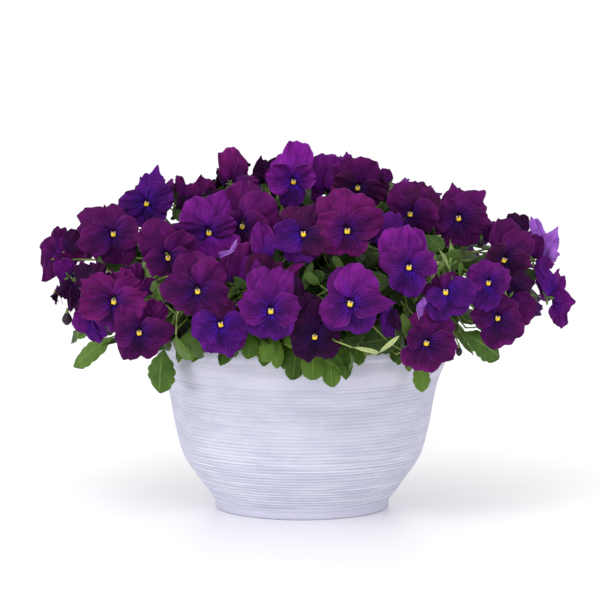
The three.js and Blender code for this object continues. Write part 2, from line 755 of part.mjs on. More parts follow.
/** The axis of a leaf's blade at a share of its length, arched between its base and its tip. */
function bladePoint(leaf, share) {
  const pull = leaf.base.clone().add(leaf.tip).multiplyScalar(0.5).addScaledVector(leaf.out, leaf.arch);
  return bend(leaf.base, pull, leaf.tip, share);
}

/** A leaf's base, tip, width, the direction its face looks and that of its side. */
function leafAt(base, tip, width) {
  const way = tip.clone().sub(base).normalize();
  const outward = vector(base.x, base.y, LEAF_LOOK_UP).normalize();
  const out = outward.addScaledVector(way, -outward.dot(way)).normalize();
  return { base, tip, width, out, side: way.clone().cross(out), arch: LEAF_ARCH * base.distanceTo(tip) };
}

/** How many points of a leaf's blade lie in the space of a bloom. */
function leafHits(leaf, blooms) {
  let hits = 0;
  for (const share of LEAF_TESTS_ALONG) {
    for (const aside of LEAF_TESTS_ACROSS) {
      const point = bladePoint(leaf, share).addScaledVector(leaf.side, aside * leaf.width);
      if (blooms.some((bloom) => insideBloom(bloom, point))) hits += 1;
    }
  }
  return hits;
}

/** A leaf with its stalk: a thin lens with scalloped edges, narrow from its root to its base. */
function leafSolid(leaf, root) {
  const half = leaf.width / 2;
  const corners = [root];
  const rows = [];
  for (const [share, wide, ribbed] of LEAF_EDGE) {
    const rib = bladePoint(leaf, share);
    const row = { left: corners.length, right: corners.length + 1, ribbed };
    for (const aside of [-1, 1]) {
      corners.push(rib.clone().addScaledVector(leaf.side, aside * wide * half)
        .addScaledVector(leaf.out, -LEAF_CUP * wide * half));
    }
    if (ribbed) {
      row.front = corners.length;
      corners.push(rib.clone().addScaledVector(leaf.out, BLADE_THICKNESS / 2));
      row.back = corners.length;
      corners.push(rib.clone().addScaledVector(leaf.out, -BLADE_THICKNESS / 2));
    }
    rows.push(row);
  }
  const tip = corners.length;
  corners.push(leaf.tip);
  const triangles = [];
  for (const edge of ['left', 'right']) {
    for (const face of ['front', 'back']) {
      const flip = (edge === 'left') === (face === 'front');
      const add = (a, b, c) => triangles.push(flip ? [a, b, c] : [a, c, b]);
      let rib = 0;
      let rim = 0;
      for (const row of rows) {
        if (rim !== rib) add(rib, rim, row[edge]);
        if (row.ribbed) {
          add(rib, row[edge], row[face]);
          rib = row[face];
        }
        rim = row[edge];
      }
      add(rib, rim, tip);
    }
  }
  return solidFrom(corners, triangles);
}

/** Leaves listed by hand, drawn back from the blooms in front of them where they would touch. */
function frontLeaves(blooms) {
  return FRONT_LEAVES.map(([tipX, tipZ, tipDepth, baseX, baseZ, baseDepth, width]) => {
    let leaf = null;
    for (let back = 0; back <= DRAW_BACK_MOST; back += DRAW_BACK_STEP) {
      const base = seenAt(baseX, baseZ, baseDepth - back);
      leaf = leafAt(base, seenAt(tipX, tipZ, tipDepth - DRAW_BACK_TIP * back), width);
      if (leafHits(leaf, blooms) === 0) break;
    }
    return leaf;
  });
}

/** Leaves that hang over the rim at the sides and the back. */
function skirtLeaves(blooms) {
  const draw = seededDraws(SEEDS.skirt);
  const around = (radius, turn, height) => vector(radius * Math.cos(turn), radius * Math.sin(turn), height);
  const leaves = [];
  for (let index = 0; index < SKIRT.count; index += 1) {
    const azimuth = radians(SKIRT.from + SKIRT.sweep * (index + SKIRT.jitter * draw()) / SKIRT.count);
    const spread = azimuth + SKIRT.turn * (draw() - 0.5);
    const drop = drawn(SKIRT.drop, draw);
    const tipRadius = RIM_RADIUS + drawn(SKIRT.past, draw);
    const base = around(SKIRT.baseRadius, azimuth, drawn(SKIRT.baseHeight, draw));
    const tip = around(tipRadius, spread, POT_HEIGHT - drop);
    const leaf = leafAt(base, tip, drawn(SKIRT.width, draw));
    if (leafHits(leaf, blooms) === 0) leaves.push(leaf);
  }
  return leaves;
}

/** Leaves along the shoots of one plant, inside the shell of blooms. */
function shootLeaves(lines, plant, blooms) {
  const draw = seededDraws(SEEDS.shoots + plant);
  const leaves = [];
  for (const line of lines) {
    const end = line.at(-1);
    for (const [place, turn, rise] of SHOOT_LEAVES) {
      const root = alongShoot(line, place);
      const heading = Math.atan2(end.y, end.x) + radians(turn + SHOOT_LEAF.turn * (draw() - 0.5));
      const lifted = rise + (end.z > SHOOT_LEAF.highFrom ? SHOOT_LEAF.highClimb : 0);
      const climb = radians(lifted + SHOOT_LEAF.turn * (draw() - 0.5));
      const flat = Math.cos(climb);
      const way = vector(flat * Math.cos(heading), flat * Math.sin(heading), Math.sin(climb));
      const length = drawn(SHOOT_LEAF.length, draw);
      const width = drawn(SHOOT_LEAF.width, draw);
      for (const scale of SHOOT_LEAF.scales) {
        const base = root.clone().addScaledVector(way, SHOOT_LEAF.stalk * scale);
        const leaf = leafAt(base, base.clone().addScaledVector(way, length * scale), width * scale);
        if (quarterOf(leaf.tip) !== plant || leafHits(leaf, blooms) > 0) continue;
        leaves.push({ ...leaf, root });
        break;
      }
    }
  }
  return leaves;
}

/** The part of a solid that lies in one plant's quarter, a little short of its sides. */
function inQuarter(solid, plant) {
  const east = plant === 0 || plant === 3 ? 1 : -1;
  const north = plant < 2 ? 1 : -1;
  return solid.trimByPlane([east, 0, 0], CLEARANCE / 2).trimByPlane([0, north, 0], CLEARANCE / 2);
}

/** The short stem of a plant, which stands in its hole in the soil and swells above it. */
function buildCrown(plant) {
  const profile = [
    [0, CROWN_FOOT],
    [CROWN_RADIUS, CROWN_FOOT],
    [CROWN_RADIUS, CROWN_NECK],
    [CROWN_SWELL_RADIUS, CROWN_SWELL],
    [CROWN_SHOULDER_RADIUS, CROWN_SHOULDER],
    [0, CROWN_TOP],
  ];
  return turned(profile, CROWN_SIDES).translate(crownPlace(plant).toArray());
}

/** A plant: its crown and shoots, the stalks of its blooms and its leaves, less the room of the blooms. */
function buildPlant(plant, blooms, solids, hangingLeaves) {
  const crown = buildCrown(plant);
  const lines = shootLines(plant);
  const [thick, thin] = SHOOT_RADIUS;
  const shoots = lines.map((line) => {
    const radii = line.map((point, step) => THREE.MathUtils.lerp(thick, thin, step / SHOOT_STEPS));
    return tubeSolid(line, radii, SHOOT_SIDES);
  });
  const roots = rootPlaces(lines);
  const hanging = hangingLeaves.filter((leaf) => quarterOf(leaf.base) === plant);
  const rooted = hanging.map((leaf) => leafSolid(leaf, takeNearest(roots, leaf.base)));
  const own = blooms.filter((bloom) => quarterOf(bloom.place) === plant);
  const stalks = own.map((bloom) => bloomStalk(bloom, blooms, roots));
  const shoot = shootLeaves(lines, plant, blooms).map((leaf) => leafSolid(leaf, leaf.root));
  let whole = inQuarter(Manifold.union([crown, ...shoots, ...stalks, ...rooted, ...shoot]), plant);
  for (const solid of solids) whole = whole.subtract(solid);
  return largestBody(whole);
}

function buildPlanter() {
  const planter = new THREE.Group();
  planter.add(meshOf('pot', buildPot(), POT_COLOUR, 0.7));
  planter.add(meshOf('soil', buildSoil(), SOIL_COLOUR, 1));

  const front = frontBlooms();
  const blooms = [...front, ...rearBlooms(front)];
  const solids = blooms.map((bloom, index) => bloomSolid(bloom, index, 0));
  for (const members of bloomGroups(solids)) {
    const numbers = members.map((index) => String(index + 1).padStart(2, '0'));
    const solid = largestBody(Manifold.union(members.map((index) => solids[index])));
    planter.add(meshOf(`bloom_${numbers.join('_')}`, solid, COLOURS[blooms[members[0]].colour], 0.75));
  }

  const grown = blooms.map((bloom, index) => bloomSolid(bloom, index, CLEARANCE / 2));
  const hanging = [...frontLeaves(blooms), ...skirtLeaves(blooms)];
  for (let plant = 0; plant < PLANTS; plant += 1) {
    const solid = buildPlant(plant, blooms, [...grown, ...solids], hanging);
    planter.add(meshOf(`plant_${plant + 1}`, solid, PLANT_COLOUR, 0.6));
  }
  return planter;
}

export default buildPlanter();
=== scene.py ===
"""Potted pansy planter: a whitewashed bowl, its soil and a mound of purple pansies.

Sizes and places are in millimetres in the part's own frame: +Z up, the front towards -Y, the origin in the
middle of the pot's underside. They become metres when a mesh is made.
"""
import logging
import math
from collections.abc import Callable, Sequence
from dataclasses import dataclass, field, replace
from enum import Enum
from functools import reduce
from typing import Any, NamedTuple

import bpy
import numpy as np
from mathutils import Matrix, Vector


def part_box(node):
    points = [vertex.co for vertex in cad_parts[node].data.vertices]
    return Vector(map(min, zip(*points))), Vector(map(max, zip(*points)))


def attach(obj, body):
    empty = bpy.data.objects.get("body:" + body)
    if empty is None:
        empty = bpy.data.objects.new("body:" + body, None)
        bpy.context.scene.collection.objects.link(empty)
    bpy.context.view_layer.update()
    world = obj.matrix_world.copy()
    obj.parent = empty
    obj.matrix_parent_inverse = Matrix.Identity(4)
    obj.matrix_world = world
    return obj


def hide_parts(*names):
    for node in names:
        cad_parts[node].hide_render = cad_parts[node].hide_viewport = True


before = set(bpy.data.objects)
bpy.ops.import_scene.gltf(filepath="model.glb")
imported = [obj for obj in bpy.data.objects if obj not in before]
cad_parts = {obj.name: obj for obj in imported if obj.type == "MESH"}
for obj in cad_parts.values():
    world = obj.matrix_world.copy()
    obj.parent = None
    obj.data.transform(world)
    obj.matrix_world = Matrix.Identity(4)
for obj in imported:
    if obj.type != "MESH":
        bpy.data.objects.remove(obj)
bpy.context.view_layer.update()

logging.basicConfig(level=logging.INFO, format="%(message)s")
log = logging.getLogger("planter")

Array = np.ndarray
Draw = Callable[[], float]
Body = tuple[np.ndarray, list[np.ndarray]]
Material = bpy.types.Material
Socket = bpy.types.NodeSocket
MM = 0.001
FULL_TURN = 2 * math.pi
# Degrees between the steps of a spiral that fills a surface evenly
GOLDEN_ANGLE = 137.508

# Pot
RIM_RADIUS = 140.2
POT_HEIGHT = 168.0
FOOT_RADIUS = 83.3
WALL = 5.0
FLOOR = 6.0
RIM_BAND = 11.5
RIM_STEP = 1.2
# Wall curve from the foot to the smooth zone under the rim band, as radius and height
WALL_CURVE = ((84.5, 9), (98.5, 28), (113.5, 51), (121.8, 80), (127, 109), (131.8, 127), (139.3, 145))
INNER_BENDS = (115.0, 60.0)

# Soil
CLEARANCE = 0.3
SOIL_TOP = 150.0
SOIL_CROWN = 3.0

# Mound of blooms: half sizes along X and Y, height of its widest level, reach above and below it
MOUND_X = 240.0
MOUND_Y = 222.0
MOUND_Z = 205.0
MOUND_UP = 115.0
MOUND_DOWN = 80.0
# A view line that misses the mound meets this share of its depth, found in so many steps
EDGE_REST = 0.03
VIEW_STEPS = 12
# The tables place things as seen from the front, from this far off and this high
VIEW_DISTANCE = 4000.0
VIEW_HEIGHT = 690.0
VIEW_ACROSS = -2.0
VIEW_AIM = 199.0
VIEW_LENS = 253.0
SENSOR = 36.0
PHOTO_WIDTH = 600.0
FOCUS = VIEW_LENS / SENSOR * PHOTO_WIDTH
TILT = math.atan2(VIEW_HEIGHT - VIEW_AIM, VIEW_DISTANCE)
# Millimetres that a pixel of the photo covers at the blooms
PIXEL = 0.91

# Plants: where their crowns stand, and how their shoots run
PLANTS = 4
CROWN_SPREAD = 62.0
CROWN_RADIUS = 8.0
CROWN_FOOT = 134.0
CROWN_TOP = 180.0
SHOOT_START = 170.0
SHOOT_REACH = 0.64
SHOOT_STEPS = 3
SHOOT_PULL = 0.4
SHOOT_CLIMB = 18.0
SHOOT_ARCH = 6.0
# Turn and rise of each shoot in degrees
SHOOTS = ((-31, 10), (0, 14), (31, 10), (-20, 42), (20, 42), (0, 68))
# For each leaf of a shoot its share of the way along, its turn and its rise
SHOOT_LEAVES = ((0.66, -48, 16), (0.97, 30, 16))
# Shares of a shoot's length where stalks may grow
ROOT_SHARES = (0.12, 0.19, 0.26, 0.33, 0.4, 0.47, 0.55, 0.62, 0.69, 0.8, 0.87, 0.93)
LEAF_ARCH = 0.18
LEAF_CUP = 0.22
LEAF_LOOK_UP = 60.0

# Blooms that the photo shows, by number: across and height as seen from the front, how far out of the mound,
# yaw, pitch and roll in degrees, width and colour
FRONT_BLOOMS = (
    (-180, 263, 2, -8, 5, 5, 62, "plum"),
    (-148, 292, 0, -5, 5, 18, 60, "blue"),
    (-128, 240, 8, 5, -22, 0, 60, "plum"),
    (-89, 264, 4, -5, -8, 0, 64, "violet"),
    (-57, 270, -4, -22, -18, 22, 64, "plum"),
    (-100, 208, 10, 0, -6, -5, 60, "plum"),
    (-180, 198, 10, -8, 2, 5, 66, "magenta"),
    (-156, 168, 2, 5, -10, -5, 60, "plum"),
    (-30, 189, 10, 0, 2, 2, 66, "violet"),
    (-78, 176, 0, 5, 8, -12, 58, "blue"),
    (1, 263, 2, 0, 12, -8, 60, "blue"),
    (46, 196, 6, 5, 4, 14, 70, "violet"),
    (12, 164, -4, 0, -12, 5, 62, "night"),
    (-8, 313, 6, 0, -6, 8, 62, "violet"),
    (43, 266, 10, 2, 2, 0, 70, "magenta"),
    (53, 307, 0, 3, -14, 0, 60, "dusk"),
    (103, 282, 0, -5, -12, 5, 60, "plum"),
    (149, 278, 8, 3, 3, -10, 64, "plum"),
    (102, 231, 6, 5, 2, 0, 64, "violet"),
    (137, 207, 0, 5, 24, 5, 62, "blue"),
    (178, 216, 14, 8, 6, 8, 52, "violet"),
    (193, 238, -4, 20, -10, 15, 66, "dusk"),
    (187, 182, 6, 10, 4, 0, 58, "plum"),
    (119, 158, 8, 6, 0, 15, 62, "plum"),
    (-233, 247, 0, -75, -12, 10, 56, "night"),
    (-222, 226, -24, -140, 0, 0, 42, "pale"),
    (-220, 205, 0, -50, -50, 0, 34, "night"),
    (-204, 173, -2, -50, -12, -10, 50, "blue"),
    (-186, 222, -30, 165, 10, 0, 48, "pale"),
    (-156, 222, -10, 35, -15, 0, 48, "magenta"),
    (-107, 303, -14, 170, 10, 0, 56, "plum"),
    (-66, 327, -2, 165, 15, 0, 52, "plum"),
    (-35, 322, -14, 195, 25, 0, 48, "night"),
    (-61, 233, -12, -15, -10, 0, 50, "blue"),
    (-36, 252, -4, 70, -5, 0, 38, "pale"),
    (-38, 226, -20, -10, 0, 0, 46, "magenta"),
    (-12, 216, -26, 50, 0, 30, 46, "magenta"),
    (23, 316, -4, 70, -10, 0, 56, "magenta"),
    (46, 328, -28, 175, 5, 0, 46, "violet"),
    (75, 306, -18, 150, 0, 0, 54, "night"),
    (77, 262, -5, -30, 0, 0, 50, "blue"),
    (183, 262, -14, 150, 0, 0, 40, "violet"),
    (232, 254, -14, 125, 5, 0, 56, "pale"),
    (243, 206, -6, 95, -10, 0, 56, "violet"),
    (84, 177, -2, 15, -45, 0, 30, "blue"),
    (117, 188, -14, 80, 0, 0, 34, "pale"),
    (203, 269, -26, 170, 20, 0, 44, "night"),
    (-60, 161, -3, 0, 0, 0, 34, "violet"),
    (209, 199, -10, 35, -5, 0, 56, "night"),
)

# Leaves along the rim in front: across, height and depth of the tip, then of the base, and the width
FRONT_LEAVES = (
    (-218, 134, 60, -175, 167, 90, 20),
    (-216, 163, 60, -196, 178, 75, 12),
    (-136, 109, 95, -131, 157, 98, 30),
    (-115, 143, 120, -96, 172, 120, 24),
    (-70, 142, 145, -64, 168, 132, 14),
    (-52, 142, 152, -46, 170, 134, 18),
    (-37, 135, 155, -33, 168, 136, 14),
    (-24, 133, 158, -24, 166, 138, 13),
    (-9, 122, 160, -4, 162, 138, 20),
    (11, 122, 160, 9, 162, 138, 24),
    (29, 115, 158, 25, 160, 138, 20),
    (42, 122, 157, 38, 162, 138, 16),
    (92, 163, 150, 48, 156, 140, 28),
    (88, 139, 140, 92, 166, 122, 14),
    (102, 130, 132, 102, 158, 120, 10),
    (115, 110, 122, 112, 146, 108, 18),
    (189, 144, 60, 149, 170, 85, 26),
    (134, 247, 156, 116, 262, 146, 18),
    (150, 246, 154, 126, 222, 146, 16),
    (33, 232, 180, 20, 244, 165, 12),
    (57, 236, 180, 44, 244, 165, 12),
    (21, 222, 180, 2, 219, 165, 14),
    (-67, 211, 178, -47, 221, 165, 12),
    (-142, 240, 146, -152, 208, 130, 12),
)

# How deep in the shade some of those leaves are, by their row
SHADED_LEAVES = {4: 0.1, 8: 0.2, 12: 0.6, 13: 0.3, 17: 0.4, 18: 0.45, 19: 0.6, 20: 0.65, 21: 0.6, 22: 0.45}

# How the petals of the full-faced front blooms lie, by the bloom's number: for the rear and the front upper
# petal, the lip, the right and the left side petal their turn from straight up in degrees, reach and width,
# and for one that ends in a point how sharp it is
HABITS = {
    1: ((294, 39, 33), (338, 27, 30), (190, 30, 40), (88, 25, 29), (251, 33, 28)),
    2: ((343, 24, 21, 0.8), (15, 34, 26, 1.0), (167, 24, 33), (66, 27, 28), (265, 28, 23)),
    3: ((329, 37, 33), (48, 29, 27), (176, 22, 28), (100, 22, 23), (250, 22, 24)),
    4: ((324, 35, 30), (20, 36, 28), (166, 29, 46), (66, 27, 20), (272, 34, 21)),
    5: ((357, 38, 38), (52, 40, 38), (182, 22, 30), (80, 27, 25), (295, 22, 22)),
    6: ((343, 34, 33), (42, 31, 30), (218, 26, 31), (107, 29, 26), (277, 34, 28)),
    7: ((306, 34, 28), (56, 29, 26), (194, 28, 34), (92, 30, 27), (262, 33, 27)),
    8: ((338, 28, 30), (36, 34, 26), (182, 28, 35), (86, 34, 27, 0.7), (286, 23, 28)),
    9: ((345, 38, 31), (15, 38, 31), (182, 27, 38), (83, 26, 28), (279, 29, 29)),
    10: ((319, 24, 24), (12, 23, 24), (188, 29, 34), (97, 27, 25), (257, 27, 30)),
    11: ((325, 28, 28), (27, 28, 27), (179, 27, 34), (118, 26, 27), (258, 34, 29, 0.9)),
    12: ((340, 32, 28), (19, 36, 36), (182, 28, 44), (90, 38, 25, 1.0), (243, 30, 28)),
    13: ((346, 36, 30), (18, 32, 28), (180, 25, 37), (95, 24, 27), (283, 24, 27)),
    14: ((325, 26, 26), (12, 37, 28), (188, 27, 22), (62, 22, 22), (280, 26, 28)),
    15: ((338, 38, 39), (22, 36, 36), (185, 25, 38), (68, 36, 26), (270, 30, 32)),
    16: ((328, 27, 29), (14, 28, 32), (180, 20, 26), (108, 26, 24), (282, 25, 25)),
    17: ((350, 28, 34), (46, 29, 33), (152, 25, 33), (92, 26, 28), (298, 20, 23)),
    18: ((353, 30, 30, 0.8), (47, 33, 30, 0.8), (186, 28, 38), (98, 31, 26, 0.5), (288, 24, 28)),
    19: ((334, 38, 35), (5, 37, 28), (193, 27, 31), (80, 26, 22), (290, 28, 24)),
    20: ((305, 30, 24, 0.9), (42, 22, 24), (168, 26, 38), (90, 29, 26), (234, 19, 20)),
    21: ((326, 20, 23), (22, 20, 26), (188, 27, 25), (80, 20, 22), (286, 19, 18)),
    22: ((20, 35, 36), (54, 35, 32), (157, 28, 30), (104, 24, 24), (298, 22, 24)),
    23: ((6, 23, 26), (54, 23, 25), (167, 28, 37), (116, 25, 26), (279, 25, 24)),
    24: ((350, 28, 28), (48, 31, 35), (190, 28, 37), (102, 28, 27), (306, 20, 23)),
}

# The petals of the blooms that the photo shows from the side or from behind, or only in part, by number:
# where each starts and ends in the photo, its width there in pixels, its colour, and for one that ends in a
# point how sharp it is
SEEN_PETALS = {
    25: ((62, 250, 39, 246, 26, "plum"), (54, 244, 44, 282, 26, "plum"), (63, 250, 61, 226, 21, "plum"),
         (66, 252, 79, 230, 24, "night"), (52, 249, 88, 256, 32, "magenta")),
    26: ((73, 278, 55, 261, 25, "violet"), (72, 268, 70, 290, 22, "dusk"),
         (74, 270, 84, 288, 20, "night")),
    27: ((73, 280, 60, 298, 16, "night"), (69, 284, 69, 312, 10, "night"),
         (74, 284, 76, 305, 12, "night"), (88, 292, 81, 262, 26, "night")),
    28: ((93, 321, 72, 321, 26, "violet"), (90, 320, 102, 341, 25, "blue"),
         (94, 316, 106, 330, 18, "blue")),
    29: ((110, 296, 102, 273, 30, "violet"), (100, 290, 86, 264, 30, "dusk"),
         (116, 294, 119, 272, 24, "plum"), (92, 284, 104, 262, 16, "night")),
    30: ((138, 298, 139, 263, 28, "plum"), (128, 296, 121, 269, 25, "magenta"),
         (147, 296, 152, 277, 18, "plum")),
    31: ((185, 198, 178, 174, 12, "plum"), (191, 200, 190, 182, 18, "plum"),
         (200, 201, 211, 178, 25, "magenta"), (188, 196, 180, 213, 26, "night"),
         (206, 198, 219, 190, 16, "night")),
    32: ((235, 184, 232, 147, 38, "magenta"), (227, 187, 217, 168, 10, "night"),
         (236, 183, 243, 163, 14, "plum"), (232, 182, 262, 181, 15, "plum")),
    33: ((266, 184, 262, 157, 22, "night"), (268, 184, 283, 154, 24, "night"),
         (264, 180, 247, 178, 13, "night"), (270, 188, 277, 170, 26, "plum")),
    34: ((238, 286, 244, 242, 38, "plum"), (244, 286, 253, 258, 34, "violet"),
         (230, 284, 226, 258, 24, "plum"), (217, 256, 234, 250, 4, "pale", 0.5),
         (231, 253, 239, 240, 5, "pale", 0.5)),
    35: ((264, 260, 258, 224, 25, "violet"), (266, 258, 269, 236, 16, "blue")),
    36: ((262, 286, 262, 253, 36, "dusk"), (254, 282, 247, 262, 20, "plum"),
         (274, 286, 281, 262, 20, "dusk")),
    37: ((279, 286, 304, 265, 14, "magenta"), (290, 276, 297, 304, 30, "night"),
         (284, 280, 280, 300, 22, "night")),
    38: ((328, 196, 328, 152, 46, "violet"), (324, 192, 308, 186, 30, "violet"),
         (332, 194, 343, 164, 26, "violet")),
    39: ((350, 178, 347, 153, 21, "violet"), (344, 174, 337, 156, 18, "magenta")),
    40: ((387, 188, 384, 167, 16, "plum"), (368, 198, 371, 162, 24, "night"),
         (378, 200, 391, 184, 26, "night"), (372, 198, 379, 174, 26, "night")),
    41: ((384, 250, 393, 212, 34, "blue"), (378, 244, 372, 222, 24, "violet")),
    42: ((496, 246, 495, 221, 24, "violet"), (488, 242, 483, 226, 17, "violet")),
    43: ((545, 250, 529, 217, 18, "pale"), (541, 257, 556, 228, 25, "pale", 0.9),
         (540, 256, 563, 257, 20, "pale", 0.6), (533, 260, 540, 233, 20, "plum"),
         (536, 262, 557, 267, 16, "violet")),
    44: ((553, 302, 541, 268, 28, "violet", 0.5), (550, 300, 576, 300, 32, "violet", 0.9),
         (552, 300, 561, 270, 24, "violet", 0.5), (557, 301, 560, 329, 21, "violet"),
         (555, 296, 533, 264, 20, "blue")),
    45: ((389, 304, 389, 338, 17, "blue"), (392, 308, 398, 331, 11, "night")),
    46: ((428, 325, 422, 299, 20, "pale"), (434, 322, 438, 306, 13, "violet")),
    47: ((516, 238, 517, 212, 30, "night"), (508, 234, 502, 219, 18, "night")),
    48: ((239, 328, 239, 350, 16, "violet"), (234, 330, 229, 346, 12, "violet")),
    49: ((508, 298, 537, 284, 32, "night"), (508, 300, 536, 315, 36, "plum"),
         (514, 286, 531, 274, 22, "night")),
}

# Where the photo shows the green cup of such a bloom; the others' is behind the foot of their first petal
SEEN_CUPS = {25: (59, 257), 26: (70, 277), 31: (201, 196), 32: (230, 183), 43: (533, 260), 44: (547, 296)}

# Blooms whose cup is small, since it looks away
SMALL_CUPS = (31, 32)

# Small leaves and stipules in the gaps between the blooms: where each starts and ends in the photo, its width
# in pixels, how far it lies behind the blooms in millimetres and how pale it is
GAP_LEAVES = (
    (166, 306, 143, 262, 12, 24, 0.15),
    (160, 318, 157, 286, 10, 26, 0.0),
    (107, 270, 98, 257, 7, 24, 0.0),
    (176, 334, 186, 359, 22, 18, 0.05),
    (192, 334, 200, 359, 18, 18, 0.0),
    (168, 330, 166, 350, 18, 26, 0.0),
    (321, 286, 305, 274, 11, 24, 0.0),
    (252, 289, 233, 277, 7, 22, 0.0),
    (90, 331, 73, 342, 12, 30, 0.0),
    (226, 342, 235, 357, 15, 16, 0.0),
    (409, 346, 402, 314, 12, 12, 0.0),
    (346, 274, 333, 256, 8, 24, 0.0),
    (300, 300, 312, 262, 9, 30, 0.0),
    (440, 284, 427, 244, 7, 8, 0.1),
    (446, 282, 450, 240, 5, 4, 0.12),
    (438, 272, 459, 250, 5, 6, 0.1),
    (430, 280, 420, 262, 7, 10, 0.0),
    (351, 347, 379, 353, 5, -14, 0.8),
    (377, 354, 399, 336, 5, -12, 0.8),
    (452, 278, 438, 248, 4, 0, 0.3),
    (424, 250, 441, 235, 5, 8, 0.2),
    (458, 280, 461, 260, 6, 8, 0.0),
    (434, 276, 446, 256, 5, 4, 0.1),
    (444, 262, 431, 238, 5, 6, 0.05),
    (428, 268, 440, 262, 5, 5, 0.3),
    (450, 266, 462, 256, 4, 4, 0.1),
    (436, 258, 424, 254, 4, 6, 0.3),
    (345, 372, 350, 352, 9, 18, 0.0),
    (417, 350, 408, 322, 12, 24, 0.0),
    (402, 352, 396, 326, 11, 28, 0.0),
)

# Front petals that stand out: the numbers of the bloom and of the petal, its colour, how light it is, partly
# its own tone and partly painted light and shade, and for one with less of a blotch than others how far it
# is like a lip
ODD_PETALS = {
    (1, 2): ("plum", 0.65),
    (2, 1): ("blue", 0.75),
    (4, 0): ("violet", 0.85),
    (4, 1): ("violet", 0.75),
    (4, 2): ("violet", 2.0, 0.15),
    (4, 3): ("violet", 0.1),
    (4, 4): ("violet", 0.1),
    (5, 0): ("plum", 0.6),
    (5, 1): ("plum", 0.8),
    (6, 0): ("plum", 0.35),
    (6, 4): ("plum", 0.2),
    (7, 2): ("violet", 0.25),
    (9, 0): ("violet", 0.35),
    (9, 1): ("violet", 0.42),
    (9, 2): ("blue", 0.4),
    (10, 0): ("dusk", 0.6),
    (10, 1): ("dusk", 0.7),
    (11, 0): ("dusk", 0.4),
    (11, 1): ("dusk", 0.35),
    (11, 3): ("dusk", 0.6),
    (12, 0): ("violet", 0.05),
    (12, 1): ("violet", 0.85),
    (12, 2): ("blue", 0.5),
    (14, 0): ("violet", 2.0),
    (14, 1): ("violet", 2.0),
    (14, 2): ("blue", 0.8),
    (14, 3): ("violet", 1.3),
    (14, 4): ("violet", 1.6),
    (15, 0): ("magenta", 0.3),
    (15, 1): ("magenta", 0.35),
    (16, 0): ("plum", 0.4),
    (16, 1): ("plum", 0.5),
    (17, 1): ("dusk", 0.75),
    (19, 0): ("violet", 1.0),
    (19, 1): ("violet", 0.85),
    (19, 2): ("blue", 0.6),
    (19, 3): ("violet", 0.4),
    (20, 0): ("plum", 0.5),
    (20, 1): ("plum", 0.6),
    (21, 2): ("blue", 0.75),
    (22, 0): ("plum", 0.22),
    (22, 1): ("plum", 0.35),
    (24, 0): ("magenta", 0.5),
    (24, 2): ("magenta", 0.35),
}

# Rear blooms that stay low behind the front ones, and what share of the usual size they reach
LOW_BLOOMS = {58: 0.5, 59: 0.6, 67: 0.62, 71: 0.5, 72: 0.78, 74: 0.37, 76: 0.62, 77: 0.85}

# Parts of the photo, from left to right and from top to bottom, where blooms leave no room for a leaf
LEAFLESS = (
    (255, 282, 172, 224),
    (344, 374, 178, 206),
    (374, 392, 196, 212),
    (164, 182, 188, 218),
    (298, 314, 180, 206),
    (240, 254, 160, 178),
)

# Buds and withered blooms: the foot and the tip of each in the photo, its width in pixels and how far it lies
# behind the blooms in millimetres
BUDS = (
    (67, 309, 67, 325, 11, 0),
    (459, 344, 459, 356, 7, 10),
    (482, 235, 480, 248, 7, 8),
    (104, 219, 97, 213, 6, 30),
)


class Range(NamedTuple):
    """A draw's least value and how much more it may be."""

    least: float
    more: float

    def drawn(self, draw: Draw) -> float:
        """A value of the range by the next draw."""
        return self.least + self.more * draw()


def spread(width: float, draw: Draw) -> float:
    """The next draw's value within a width about 0."""
    return width * (draw() - 0.5)


def seeded_draws(seed: int) -> Draw:
    """Numbers from 0 to 1 that are the same each time for the same seed.

    Args:
        seed: Where the sequence starts.

    Returns:
        A function that gives the next number.
    """
    state = seed

    def draw() -> float:
        """Takes one step of a linear congruential sequence.

        Returns:
            The next number.
        """
        nonlocal state
        state = (1664525 * state + 1013904223) % 4294967296
        return state / 4294967296

    return draw


def vector(x: float, y: float, z: float) -> Array:
    """A point or a direction."""
    return np.array((x, y, z), float)


def unit(way: Array) -> Array:
    """Directions of length 1, from one or many."""
    return way / np.linalg.norm(way, axis=-1, keepdims=True)


def cosd(angle: float) -> float:
    """Cosine of an angle in degrees."""
    return math.cos(math.radians(angle))


def sind(angle: float) -> float:
    """Sine of an angle in degrees."""
    return math.sin(math.radians(angle))


def around(radius: float, turn: float, height: float) -> Array:
    """A point at a radius, a turn in radians and a height."""
    return vector(radius * math.cos(turn), radius * math.sin(turn), height)


def smooth_step(low: float, high: float, value: Array) -> Array:
    """A rise from 0 at low to 1 at high, level at both ends."""
    share = np.clip((value - low) / (high - low), 0, 1)
    return share * share * (3 - 2 * share)


def hump(value: Array, middle: float, width: float) -> Array:
    """A smooth hump, 1 at its middle and near 0 at twice its width from there."""
    return np.exp(-((value - middle) / width) ** 2)


def linear(code: str) -> tuple[float, float, float, float]:
    """A colour's linear values.

    Args:
        code: Its sRGB hex value.

    Returns:
        Red, green, blue and an alpha of 1.
    """
    shares = [int(code[start:start + 2], 16) / 255 for start in (0, 2, 4)]
    red, green, blue = [s / 12.92 if s <= 0.04045 else ((s + 0.055) / 1.055) ** 2.4 for s in shares]
    return red, green, blue, 1.0


def per_metre(size_mm: float) -> float:
    """The scale at which a texture repeats about once in a size in millimetres."""
    return 1 / (size_mm * MM)


def seen_at(across: float, height: float, depth: float) -> Array:
    """The point seen at a place from the front, at a depth in front of the pot's axis."""
    x = across * (1 - depth / VIEW_DISTANCE)
    return vector(x, -depth, height + (VIEW_HEIGHT - height) * depth / VIEW_DISTANCE)


